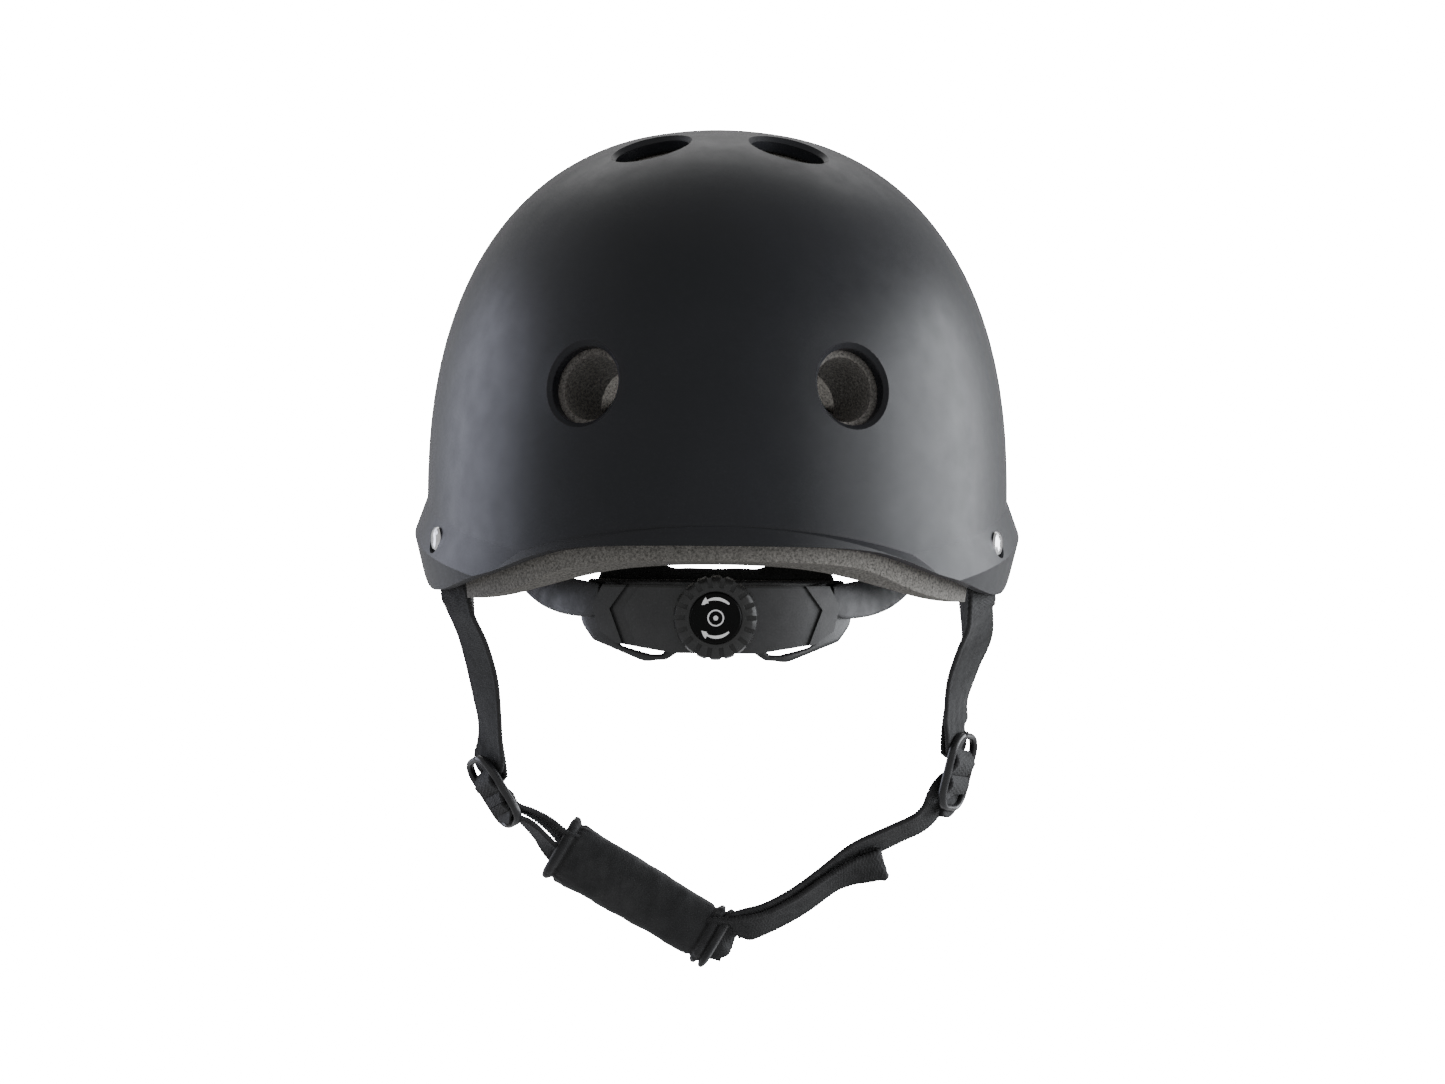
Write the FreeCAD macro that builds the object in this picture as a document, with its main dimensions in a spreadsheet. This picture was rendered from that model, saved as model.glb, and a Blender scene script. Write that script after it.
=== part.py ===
"""Water-sports helmet: hard shell, foam liner, rear dial retention and a buckled chin strap.

Frame in millimetres: +X is the wearer's right, +Y is forward, +Z is up.  The origin is on
the axis of the head at the level of the shell's rear rim.  The helmet is drawn as it sits
on a head, with its chin strap fastened and hanging below.
"""
import FreeCAD, Part
import Sketcher
import math
import os
from FreeCAD import Matrix, Placement, Rotation, Vector

DIMENSIONS = {
    # outer shell
    "shell_half_width": 104.0,
    "shell_half_length": 127.5,
    "shell_centre_y": 2.5,
    "shell_equator_z": 15.0,
    "shell_height": 132.0,
    "shell_thickness": 2.5,
    "shell_skirt": 45.0,
    "ridge_proud": 4.5,
    "ridge_tilt": 11.5,
    "vent_radius": 13.0,
    "vent_lip_depth": 6.0,
    # foam liner and head cavity
    "liner_gap": 0.4,
    "cavity_half_width": 77.0,
    "cavity_half_length": 98.0,
    "cavity_height": 105.0,
    "liner_vent_radius": 11.0,
    "pad_thickness": 8.0,
    "pad_gap": 1.5,
    # rivets that hold the chin strap
    "rivet_radius": 4.5,
    "rivet_head_height": 1.8,
    "rivet_shank_radius": 2.0,
    "washer_radius": 5.5,
    "washer_thickness": 0.8,
    # retention cradle at the nape
    "cradle_axis_y": -32.0,
    "cradle_z": -25.0,
    "housing_radius": 72.0,
    "channel_outer_radius": 68.2,
    "channel_inner_radius": 65.4,
    "cover_inner_radius": 63.9,
    "frame_outer_radius": 63.6,
    "frame_inner_radius": 61.8,
    "cradle_pad_outer_radius": 61.5,
    "cradle_pad_inner_radius": 56.0,
    "rack_tilt": 9.0,
    "rack_thickness": 0.9,
    "rack_half_height": 5.4,
    # dial
    "knob_radius": 14.0,
    "knob_height": 8.6,
    "knob_ribs": 18,
    "cap_radius": 8.6,
    "cap_thickness": 1.9,
    "pinion_pitch_radius": 3.0,
    "pinion_teeth": 8,
    "gear_addendum": 0.3,
    "gear_tooth": 0.85,
    "pinion_shaft_radius": 2.2,
    "screw_radius": 1.1,
    "screw_head_radius": 3.4,
    # webbing, dividers, chin pad and buckle
    "webbing_width": 16.0,
    "webbing_thickness": 1.7,
    "divider_length": 29.0,
    "divider_width": 20.0,
    "divider_thickness": 3.0,
    "chin_pad_length": 63.5,
    "chin_pad_width": 25.0,
    "chin_pad_thickness": 13.0,
    "buckle_width": 17.0,
    "buckle_thickness": 6.4,
    "socket_length": 22.0,
    "plug_length": 12.0,
}

SHELL_EXPONENT = 2.35
CAVITY_EXPONENT = 2.3
SIDES = (("left", -1), ("right", 1))
UP = Vector(0, 0, 1)

doc = FreeCAD.newDocument("water_helmet")
sheet = doc.addObject("Spreadsheet::Sheet", "Dims")
for row, (alias, value) in enumerate(DIMENSIONS.items(), start=1):
    sheet.set(f"A{row}", alias)
    sheet.set(f"B{row}", str(value))
    sheet.setAlias(f"B{row}", alias)
doc.recompute()

NODES = []


def dim(alias):
    """A driving dimension, read from the sheet."""
    return float(sheet.get(alias))


# ---------------------------------------------------------------- document helpers
def add_shape(label, shape):
    """A sub-part whose shape is made with Part's own functions."""
    feature = doc.addObject("Part::Feature", label)
    feature.Label = label
    feature.Shape = shape
    NODES.append(feature)
    return feature


def new_body(label, exported=True):
    body = doc.addObject("PartDesign::Body", label)
    body.Label = label
    if exported:
        NODES.append(body)
    return body


def new_sketch(body, name, role, offset="0"):
    """A sketch on one of the body's origin planes, moved along its normal by an expression."""
    sketch = body.newObject("Sketcher::SketchObject", f"{body.Name}_{name}")
    plane = next(item for item in body.Origin.OriginFeatures if item.Role == role)
    sketch.AttachmentSupport = (plane, [""])
    sketch.MapMode = "FlatFace"
    sketch.setExpression(".AttachmentOffset.Base.z", offset)
    return sketch


def draw_polygon(sketch, points):
    """A closed outline whose corners are bound to expressions of the sheet's dimensions."""
    values = [[float(sketch.evalExpression(text)) for text in point] for point in points]
    first = sketch.GeometryCount
    for index, start in enumerate(values):
        end = values[(index + 1) % len(values)]
        sketch.addGeometry(Part.LineSegment(Vector(*start, 0), Vector(*end, 0)), False)
    for index in range(len(values)):
        following = first + (index + 1) % len(values)
        sketch.addConstraint(Sketcher.Constraint("Coincident", first + index, 2, following, 1))
    for index, point in enumerate(points):
        for kind, text, value in zip(("DistanceX", "DistanceY"), point, values[index]):
            rule = Sketcher.Constraint(kind, -1, 1, first + index, 1, value)
            number = sketch.addConstraint(rule)
            sketch.setExpression(f"Constraints[{number}]", text)


def draw_rectangle(sketch, left, bottom, right, top):
    draw_polygon(sketch, [(left, bottom), (right, bottom), (right, top), (left, top)])


def draw_circle(sketch, x, y, radius):
    values = [float(sketch.evalExpression(text)) for text in (x, y, radius)]
    circle = Part.Circle(Vector(values[0], values[1], 0), Vector(0, 0, 1), values[2])
    index = sketch.addGeometry(circle, False)
    number = sketch.addConstraint(Sketcher.Constraint("Radius", index, values[2]))
    sketch.setExpression(f"Constraints[{number}]", radius)
    for kind, text, value in (("DistanceX", x, values[0]), ("DistanceY", y, values[1])):
        number = sketch.addConstraint(Sketcher.Constraint(kind, -1, 1, index, 3, value))
        sketch.setExpression(f"Constraints[{number}]", text)


def turned_body(label, profile, exported=True):
    """A body turned about its own Z axis from a radius-height outline."""
    body = new_body(label, exported)
    sketch = new_sketch(body, "profile", "XZ_Plane")
    draw_polygon(sketch, profile)
    turn = body.newObject("PartDesign::Revolution", f"{label}_turn")
    turn.Profile = sketch
    turn.ReferenceAxis = (sketch, ["V_Axis"])
    turn.Angle = 360
    sketch.Visibility = False
    doc.recompute()
    return body


def pad(body, sketch, name, length, midplane=False):
    feature = body.newObject("PartDesign::Pad", f"{body.Name}_{name}")
    feature.Profile = sketch
    feature.setExpression("Length", length)
    feature.Midplane = midplane
    doc.recompute()
    return feature


def pocket(body, sketch, name, length, midplane=False, reverse=False):
    """A pocket, with a check that it really removes material."""
    before = body.Shape.Volume
    feature = body.newObject("PartDesign::Pocket", f"{body.Name}_{name}")
    feature.Profile = sketch
    feature.setExpression("Length", length)
    feature.Midplane = midplane
    feature.Reversed = reverse
    doc.recompute()
    if body.Shape.Volume >= before:
        raise RuntimeError(f"{feature.Name} removes nothing")
    return feature


def polar_pattern(body, feature, name, count):
    pattern = body.newObject("PartDesign::PolarPattern", f"{body.Name}_{name}")
    pattern.Originals = [feature]
    axis = next(item for item in body.Origin.OriginFeatures if item.Role == "Z_Axis")
    pattern.Axis = (axis, [""])
    pattern.Angle = 360
    pattern.setExpression("Occurrences", count)
    body.Tip = pattern
    doc.recompute()
    return pattern


# ---------------------------------------------------------------- geometry helpers
def moved(shape, placement):
    copy = shape.copy()
    copy.Placement = placement.multiply(copy.Placement)
    return copy


def mirrored(shape):
    """The same piece on the wearer's other side."""
    return shape.mirror(Vector(0, 0, 0), Vector(1, 0, 0))


def stretched(shape, scale_y, shift_y):
    matrix = Matrix()
    matrix.A22 = scale_y
    matrix.A24 = shift_y
    return shape.transformGeometry(matrix)


def turned_solid(points):
    wire = Part.makePolygon([Vector(r, 0, z) for r, z in points + points[:1]])
    return Part.Face(wire).revolve(Vector(0, 0, 0), UP, 360)


def dome(half_width, half_length, height, exponent, skirt, tuck=0.035):
    """A closed oval dome: a superelliptic profile turned about Z, then stretched along Y."""
    equator = dim("shell_equator_z")
    steps = 12
    curve_points = []
    for part in (1.0, 0.5):
        curve_points.append(Vector(half_width * (1 - tuck * part**2), 0, equator - skirt * part))
    for step in range(steps + 1):
        angle = step * math.pi / 2 / steps
        radius = half_width * max(math.cos(angle), 0.0) ** (2 / exponent)
        rise = height * math.sin(angle) ** (2 / exponent)
        curve_points.append(Vector(radius if step < steps else 0.0, 0, equator + rise))
    profile = Part.BSplineCurve()
    profile.interpolate(Points=curve_points, InitialTangent=Vector(0.08, 0, 1), FinalTangent=Vector(-1, 0, 0))
    foot = Vector(0, 0, curve_points[0].z)
    axis = Part.LineSegment(curve_points[-1], foot).toShape()
    base = Part.LineSegment(foot, curve_points[0]).toShape()
    outline = Part.Wire([profile.toShape(), axis, base])
    solid = Part.Face(outline).revolve(Vector(0, 0, 0), UP, 360)
    return stretched(solid, half_length / half_width, dim("shell_centre_y"))


def shell_dome(offset):
    """The shell's own dome, moved inwards by an offset."""
    return dome(dim("shell_half_width") - offset, dim("shell_half_length") - offset,
                dim("shell_height") - offset, SHELL_EXPONENT, dim("shell_skirt"))


def head_dome(offset):
    """The hollow for the head, moved inwards by an offset."""
    return dome(dim("cavity_half_width") - offset, dim("cavity_half_length") - offset,
                dim("cavity_height") - offset, CAVITY_EXPONENT, dim("shell_skirt"), tuck=0.0)


def below_edge(points, depth=-80.0, reach=160.0):
    """Everything under a lower edge that is drawn in side view, as (y, z) points."""
    curve = Part.BSplineCurve()
    curve.interpolate([Vector(-reach, y, z) for y, z in points])
    start, end = curve.StartPoint, curve.EndPoint
    corner_a = Vector(-reach, end.y, depth)
    corner_b = Vector(-reach, start.y, depth)
    lines = [Part.LineSegment(end, corner_a), Part.LineSegment(corner_a, corner_b),
             Part.LineSegment(corner_b, start)]
    wire = Part.Wire([curve.toShape()] + [line.toShape() for line in lines])
    return Part.Face(wire).extrude(Vector(2 * reach, 0, 0))


def surface_level(x, y):
    """How far out a plan position is on the shell: 0 on the axis and 1 at the widest oval."""
    along = (y - dim("shell_centre_y")) / dim("shell_half_length")
    return math.hypot(x / dim("shell_half_width"), along)


def point_from_above(x, y):
    """The point of the shell's surface above a plan position."""
    rise = (1 - surface_level(x, y) ** SHELL_EXPONENT) ** (1 / SHELL_EXPONENT)
    return Vector(x, y, dim("shell_equator_z") + dim("shell_height") * rise)


def level_at(z):
    rise = max(z - dim("shell_equator_z"), 0.0) / dim("shell_height")
    return (1 - rise**SHELL_EXPONENT) ** (1 / SHELL_EXPONENT)


def point_along_y(x, z, direction):
    """The point of the shell's surface in front of or behind an (x, z) position."""
    across = x / dim("shell_half_width")
    along = math.sqrt(level_at(z) ** 2 - across**2)
    return Vector(x, dim("shell_centre_y") + direction * dim("shell_half_length") * along, z)


def point_along_x(y, z, side):
    """The point of the shell's surface beside a (y, z) position."""
    along = (y - dim("shell_centre_y")) / dim("shell_half_length")
    across = math.sqrt(level_at(z) ** 2 - along**2)
    return Vector(side * dim("shell_half_width") * across, y, z)


def surface_normal(point):
    level = max(surface_level(point.x, point.y), 1e-6)
    steep = level ** (SHELL_EXPONENT - 2)
    rise = max(point.z - dim("shell_equator_z"), 0.0) / dim("shell_height")
    normal = Vector(steep * point.x / dim("shell_half_width") ** 2,
                    steep * (point.y - dim("shell_centre_y")) / dim("shell_half_length") ** 2,
                    rise ** (SHELL_EXPONENT - 1) / dim("shell_height"))
    return normal.normalize()


def facing(point, normal):
    """A placement whose +Z leaves the surface at a point."""
    return Placement(point, Rotation(UP, normal))


def frame_placement(origin, x_axis, y_axis):
    """A placement from two perpendicular axes."""
    x_axis = Vector(x_axis).normalize()
    z_axis = x_axis.cross(Vector(y_axis)).normalize()
    y_axis = z_axis.cross(x_axis)
    return Placement(Matrix(x_axis.x, y_axis.x, z_axis.x, origin.x,
                            x_axis.y, y_axis.y, z_axis.y, origin.y,
                            x_axis.z, y_axis.z, z_axis.z, origin.z,
                            0, 0, 0, 1))


def arc_plate(inner, outer, low, high, start, end):
    """A curved upright plate about the cradle's axis; angles are degrees from dead rear."""
    face = Part.Face(Part.makePolygon([Vector(0, -r, z) for r, z in (
        (inner, low), (outer, low), (outer, high), (inner, high), (inner, low))]))
    face.rotate(Vector(0, 0, 0), UP, start)
    solid = face.revolve(Vector(0, 0, 0), UP, end - start)
    solid.translate(Vector(0, dim("cradle_axis_y"), dim("cradle_z")))
    return solid


def rear_prism(points, front=0.0, back=-130.0):
    """A prism along Y from an outline in rear view, given as (x, height above the dial)."""
    corners = [Vector(x, back, dim("cradle_z") + z) for x, z in points]
    return Part.Face(Part.makePolygon(corners + corners[:1])).extrude(Vector(0, front - back, 0))


def webbing(stations, width=None, thickness=None):
    """Flat webbing through stations, each a centre point and the way its face looks."""
    width = width or dim("webbing_width")
    thickness = thickness or dim("webbing_thickness")
    centres = [Vector(*centre) for centre, _ in stations]
    sections = []
    for index, (_, face) in enumerate(stations):
        before = centres[max(index - 1, 0)]
        after = centres[min(index + 1, len(centres) - 1)]
        run = (after - before).normalize()
        across = run.cross(Vector(*face)).normalize() * (width / 2)
        through = across.cross(run).normalize() * (thickness / 2)
        centre = centres[index]
        corners = [centre + across + through, centre - across + through,
                   centre - across - through, centre + across - through]
        sections.append(Part.makePolygon(corners + corners[:1]))
    return Part.makeLoft(sections, True, False)


# ---------------------------------------------------------------- shell
RIM_EDGE = ((-145, -1.4), (-120, -1.5), (-108, -3.2), (-96, -7.8), (-70, -14.5), (-45, -17.5),
            (-25, -15.5), (-5, -5.0), (15, 6.0), (45, 13.0), (90, 19.0), (150, 22.0))
LINER_EDGE = ((-145, -6.3), (-118, -6.5), (-106, -8.6), (-92, -14.5), (-72, -19.0), (-45, -20.0),
              (-25, -18.0), (-5, -8.0), (15, 3.0), (45, 10.0), (90, 16.0), (150, 19.0))


def vent_places():
    """Surface points of the ten vents: rear, crown, front and side pairs."""
    places = []
    for _, side in SIDES:
        places.append(point_along_y(side * 45.0, 52.0, -1))
        places.append(point_from_above(side * 24.0, -50.0))
        places.append(point_from_above(side * 24.0, 52.0))
        places.append(point_along_y(side * 38.0, 78.0, 1))
        places.append(point_along_x(30.0, 84.0, side))
    return [facing(point, surface_normal(point)) for point in places]


def brim_ridge(offset):
    """The raised ridge that runs from the lobes, over the ears, to a short brim."""
    radius = dim("shell_half_width") - offset
    proud = dim("ridge_proud")
    tip = radius + proud
    profile = [(0, 52), (tip - 19.5, 52), (tip, 0), (tip - 9, -40), (0, -40)]
    ridge = stretched(turned_solid(profile), dim("shell_half_length") / dim("shell_half_width"), 0)
    tilt = Placement(Vector(0, 4.0, 5.0), Rotation(Vector(1, 0, 0), dim("ridge_tilt")))
    return moved(ridge, tilt)


def rear_lip(offset):
    """The short lip turned out over the nape, under an arched crease."""
    radius = dim("shell_half_width") - offset
    profile = [(0, 50), (radius - 15, 50), (radius, 0), (radius - 2.5, -20), (0, -20)]
    ratio = dim("shell_half_length") / dim("shell_half_width")
    lip = stretched(turned_solid(profile), ratio, radius * ratio)
    rear = dim("shell_centre_y") - dim("shell_half_length") + offset
    return moved(lip, Placement(Vector(0, rear, 5.0), Rotation(Vector(1, 0, 0), -24.0)))


def build_outer_shell():
    thickness = dim("shell_thickness")
    outside = shell_dome(0).fuse([brim_ridge(0), rear_lip(0)]).cut(below_edge(RIM_EDGE))
    inside = shell_dome(thickness).fuse([brim_ridge(thickness), rear_lip(thickness)])
    radius = dim("vent_radius")
    depth = dim("vent_lip_depth")
    collars = []
    openings = []
    for place in vent_places():
        collars.append(moved(Part.makeCylinder(radius + 2.0, depth + 10.0, Vector(0, 0, -depth)), place))
        openings.append(moved(Part.makeCylinder(radius, 40.0, Vector(0, 0, -20.0)), place))
        openings.append(moved(Part.makeCone(radius, radius + 4.0, 4.0, Vector(0, 0, -2.4)), place))
    seats = [seat_height(place, outside) - 0.6 for place in rivet_places()]
    shank = dim("rivet_shank_radius") + 0.3
    for place, seat in zip(rivet_places(), seats):
        openings.append(moved(Part.makeCylinder(shank, 20, Vector(0, 0, -10)), place))
        openings.append(moved(Part.makeCylinder(dim("rivet_radius") + 0.3, 10, Vector(0, 0, seat)), place))
    shell = outside.cut(inside.cut(collars)).cut(openings)
    add_shape("outer_shell", max(shell.Solids, key=lambda solid: solid.Volume))
    return seats


# ---------------------------------------------------------------- strap rivets
RIVET_SPOTS = ((-48.0, 0.0), (52.0, 21.0))


def rivet_places():
    """Where the strap rivets cross the shell's plain oval, the rear pair first."""
    places = []
    for y, z in RIVET_SPOTS:
        for _, side in SIDES:
            along = (y - dim("shell_centre_y")) / dim("shell_half_length")
            point = Vector(side * dim("shell_half_width") * math.sqrt(1 - along**2), y, z)
            places.append(facing(point, surface_normal(Vector(point.x, y, 0))))
    return places


def seat_height(place, solid):
    """How far the real surface stands out from the plain oval along a rivet's axis."""
    line = Part.makeLine(place.multVec(Vector(0, 0, -1)), place.multVec(Vector(0, 0, 12)))
    ends = [place.inverse().multVec(vertex.Point).z for vertex in line.common(solid).Vertexes]
    return max(ends)


def build_rivets(seats):
    """Domed rivets outside the shell and their backing washers inside the webbing."""
    rivet = turned_body("rivet_pattern", [
        ("0", "-10.6"), ("Dims.rivet_shank_radius", "-10.6"), ("Dims.rivet_shank_radius", "0"),
        ("Dims.rivet_radius", "0"), ("Dims.rivet_radius - 0.3", "Dims.rivet_head_height * 0.45"),
        ("Dims.rivet_radius * 0.72", "Dims.rivet_head_height * 0.8"),
        ("Dims.rivet_radius * 0.38", "Dims.rivet_head_height * 0.96"),
        ("0", "Dims.rivet_head_height")], exported=False)
    washer = turned_body("washer_pattern", [
        ("Dims.rivet_shank_radius + 0.15", "-6.8"), ("Dims.washer_radius", "-6.8"),
        ("Dims.washer_radius", "-6.8 + Dims.washer_thickness"),
        ("Dims.rivet_shank_radius + 0.15", "-6.8 + Dims.washer_thickness")], exported=False)
    heads = [moved(moved(rivet.Shape, Placement(Vector(0, 0, seat), Rotation())), place)
             for place, seat in zip(rivet_places(), seats)]
    add_shape("strap_rivets", Part.makeCompound(heads))
    add_shape("rivet_washers", Part.makeCompound([moved(washer.Shape, place) for place in rivet_places()]))


# ---------------------------------------------------------------- liner and pads
def strap_channels():
    """Slots in the liner's outer face for the webbing and the rivets' tails."""
    slots = []
    for place in rivet_places():
        slot = Part.makeBox(26, 60, 16, Vector(-13, -45, -17))
        upright = frame_placement(place.Base, UP.cross(place.Rotation.multVec(UP)), UP)
        slots.append(moved(slot, upright))
    return slots


def band_anchor_place(side):
    return Placement(Vector(side * 75.4, 12.0, 7.0), Rotation(UP, Vector(-side, 0, 0)))


def build_foam_liner():
    outside = shell_dome(dim("shell_thickness") + dim("liner_gap"))
    bevel = stretched(turned_solid([(0, 14), (dim("cavity_half_width"), 14),
                                    (dim("cavity_half_width") + 16, -16),
                                    (dim("cavity_half_width") + 16, -60), (0, -60)]),
                      dim("cavity_half_length") / dim("cavity_half_width"), dim("shell_centre_y"))
    liner = outside.cut([head_dome(0), bevel]).cut(below_edge(LINER_EDGE))
    tools = strap_channels()
    for place in vent_places():
        collar = dim("vent_radius") + 2.6
        tools.append(moved(Part.makeCylinder(collar, 30, Vector(0, 0, -dim("vent_lip_depth") - 1)), place))
        tools.append(moved(Part.makeCylinder(dim("liner_vent_radius"), 70, Vector(0, 0, -55)), place))
    for _, side in SIDES:
        tools.append(moved(Part.makeCylinder(2.9, 16, Vector(0, 0, -14)), band_anchor_place(side)))
    liner = liner.cut(tools)
    add_shape("foam_liner", max(liner.Solids, key=lambda solid: solid.Volume))


def pad_layer():
    """The layer in which the comfort pads lie, inside the head cavity."""
    gap = dim("pad_gap")
    return head_dome(gap).cut(head_dome(gap + dim("pad_thickness")))


def rounded_prism(width, height, corner, length):
    """A prism along +Z with rounded corners, centred on its axis."""
    box = Part.makeBox(width, height, length, Vector(-width / 2, -height / 2, 0))
    upright = [edge for edge in box.Edges if abs(edge.tangentAt(edge.FirstParameter).z) > 0.9]
    return box.makeFillet(corner, upright)


PAD_PLACES = {
    "brow_pad": (Vector(0, 0, 40), Vector(0, 1, 0), 96.0, 24.0),
    "rear_pad": (Vector(0, 0, 44), Vector(0, -1, 0), 34.0, 44.0),
    "crown_pad": (Vector(0, 0, 60), Vector(0, 0, 1), 22.0, 76.0),
    "left_side_pad": (Vector(0, -2, 38), Vector(-1, 0, 0), 76.0, 30.0),
    "right_side_pad": (Vector(0, -2, 38), Vector(1, 0, 0), 76.0, 30.0),
}


def pad_placement(origin, outward):
    across = Vector(1, 0, 0) if abs(outward.z) > 0.9 else outward.cross(UP)
    return frame_placement(origin, across, outward.cross(across))


def build_pads():
    """Comfort pads and, behind each, the hook-and-loop discs that hold it to the liner."""
    layer = pad_layer()
    discs = []
    for label, (origin, outward, width, height) in PAD_PLACES.items():
        place = pad_placement(origin, outward)
        window = moved(rounded_prism(width, height, 9.0, 140.0), place)
        add_shape(label, layer.common(window))
        reach = width / 2 - 12 if width > height else height / 2 - 12
        for step in (-1, 1):
            shift = Vector(step * reach, 0, 0) if width > height else Vector(0, step * reach, 0)
            stud = Part.makeCylinder(7.0, 140.0, shift)
            discs.append(moved(stud, place))
    film = head_dome(0.2).cut(head_dome(dim("pad_gap") - 0.1))
    add_shape("pad_fasteners", Part.makeCompound([film.common(disc).Solids[0] for disc in discs]))


# ---------------------------------------------------------------- retention cradle
HOUSING_OUTLINE = ((-38, 10.5), (-41.5, 3.5), (-39.5, -4.5), (-33, -9.0), (-14, -12.0),
                   (14, -12.0), (33, -9.0), (39.5, -4.5), (41.5, 3.5), (38, 10.5))
COVER_OUTLINE = ((-36, 9.5), (-39.5, 3.5), (-37.5, -4.0), (-31, -8.2), (-13, -11.2),
                 (13, -11.2), (31, -8.2), (37.5, -4.0), (39.5, 3.5), (36, 9.5))
DIAL_RANGE = math.pi
SLOT_END_WALL = 2.0
CHEVRON_WIDTH = 4.6
CHEVRON_DEPTH = 1.2


def dial_placement():
    """Dial pieces are turned about +Z, which here looks out to the rear."""
    origin = Vector(0, dim("cradle_axis_y") - dim("housing_radius"), dim("cradle_z"))
    return Placement(origin, Rotation(Vector(1, 0, 0), 90))


def rack_tilt(side):
    """Each rack climbs outwards from the dial; the turn is about Y through the dial."""
    centre = Vector(0, dim("cradle_axis_y"), dim("cradle_z"))
    return Placement(Vector(0, 0, 0), Rotation(Vector(0, 1, 0), -side * dim("rack_tilt")), centre)


def rack_layer(side):
    """Inner and outer radius of a rack: the left one runs outside the right one."""
    gap = 0.3
    if side > 0:
        inner = dim("channel_inner_radius") + gap
    else:
        inner = dim("channel_outer_radius") - gap - dim("rack_thickness")
    return inner, inner + dim("rack_thickness")


def housing_channel(side):
    """The curved way that one rack slides in."""
    high = dim("rack_half_height") + 0.35
    reach = math.degrees((DIAL_RANGE * dim("pinion_pitch_radius") * 2 + 8.0) / dim("channel_inner_radius"))
    angles = (-60.0, reach) if side < 0 else (-reach, 60.0)
    channel = arc_plate(dim("channel_inner_radius"), dim("channel_outer_radius"), -high, high, *angles)
    return moved(channel, rack_tilt(side))


def chevron(side):
    """A sharp bent groove, drawn in rear view, that decorates each end of the housing."""
    inner_edge = [(24.5, 11.5), (31.0, 2.5), (25.5, -12.0)]
    outer_edge = [(x + CHEVRON_WIDTH, z) for x, z in reversed(inner_edge)]
    groove = rear_prism([(side * x, z) for x, z in inner_edge + outer_edge])
    front = dim("housing_radius")
    return groove.common(arc_plate(front - CHEVRON_DEPTH, front + 2, -16, 16, -45, 45))


def build_housing():
    front = dim("housing_radius")
    inner = dim("channel_inner_radius")
    plate = arc_plate(inner + 0.1, front, -14, 12, -45, 45).common(rear_prism(HOUSING_OUTLINE))
    boss = moved(Part.makeCylinder(13.2, 3.8, Vector(0, 0, -3.8)), dial_placement())
    housing = plate.fuse(boss)
    for _, side in SIDES:
        housing = housing.cut([housing_channel(side), chevron(side)])
    bore = Part.makeCylinder(dim("pinion_shaft_radius") + 0.4, 12, Vector(0, 0, -10))
    housing = housing.cut(moved(bore, dial_placement()))
    add_shape("dial_housing", max(housing.Solids, key=lambda solid: solid.Volume))

    cover = arc_plate(dim("cover_inner_radius"), inner - 0.1, -14, 12, -45, 45)
    cover = cover.common(rear_prism(COVER_OUTLINE)).cut([housing_channel(side) for _, side in SIDES])
    pivot = Part.makeCylinder(dim("screw_radius") + 0.4, 20, Vector(0, 0, -14))
    cover = cover.cut(moved(pivot, dial_placement()))
    add_shape("housing_cover", max(cover.Solids, key=lambda solid: solid.Volume))


def build_cradle_frame():
    """The flexible nape frame: a curved plate with two looped arms under the housing."""
    outline = [(43, 12.5), (46.5, 4), (45.5, -3), (41.5, -8.6), (24, -15.4), (16.5, -14.8), (10, -10.5)]
    whole = [(-x, z) for x, z in outline] + [(x, z) for x, z in reversed(outline)]
    frame = arc_plate(dim("frame_inner_radius"), dim("frame_outer_radius"), -18, 14, -52, 52)
    frame = frame.common(rear_prism(whole))
    for _, side in SIDES:
        slit = [(16.5, -9.4), (34.0, -6.6), (31.5, -9.9), (21.0, -12.6), (17.2, -12.2)]
        window = [(17.0, 8.0), (37.0, 8.0), (39.0, 1.0), (33.0, -4.0), (17.0, -6.0)]
        for opening in (slit, window):
            frame = frame.cut(rear_prism([(side * x, z) for x, z in opening]))
    add_shape("cradle_frame", frame)


def build_cradle_pad():
    """The soft pad that rests on the nape."""
    outline = [(-38, 16.2), (-44, 6), (-42, -4), (-34, -9), (34, -9), (42, -4), (44, 6), (38, 16.2)]
    cushion = arc_plate(dim("cradle_pad_inner_radius"), dim("cradle_pad_outer_radius"), -14, 18, -54, 54)
    add_shape("cradle_pad", cushion.common(rear_prism(outline)))


def build_rack(label, side):
    """A thin curved rack with a slot round the pinion and teeth on one edge of the slot."""
    inner, outer = rack_layer(side)
    middle = (inner + outer) / 2
    travel = DIAL_RANGE * dim("pinion_pitch_radius")
    tip = dim("pinion_pitch_radius") + dim("gear_addendum")
    slot_half = travel + tip + 0.6
    root = tip + 0.4
    high = dim("rack_half_height")
    tail = math.degrees((slot_half + SLOT_END_WALL) / middle)
    head = math.degrees(math.asin(41.5 / dim("channel_outer_radius")) + (travel + 4.0) / middle)
    angles = (-head, tail) if side < 0 else (-tail, head)
    rack = arc_plate(inner, outer, -high, high, *angles)
    window = math.degrees(slot_half / middle)
    rack = rack.cut(arc_plate(inner - 1, outer + 1, -root, root, -window, window))
    pitch = 2 * math.pi * dim("pinion_pitch_radius") / dim("pinion_teeth")
    phase = -dim("pinion_pitch_radius") * math.radians(dim("rack_tilt"))
    low, top = dim("pinion_pitch_radius") - dim("gear_addendum"), root + 0.2
    levels = (low, top) if side < 0 else (-top, -low)
    count = int(slot_half / pitch)
    teeth = []
    for index in range(-count, count + 1):
        spot = index * pitch + phase
        edges = [math.degrees((spot + sign * dim("gear_tooth") / 2) / middle) for sign in (-1, 1)]
        teeth.append(arc_plate(inner, outer, *levels, *edges))
    add_shape(label, moved(rack.fuse(teeth).removeSplitter(), rack_tilt(side)))


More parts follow.
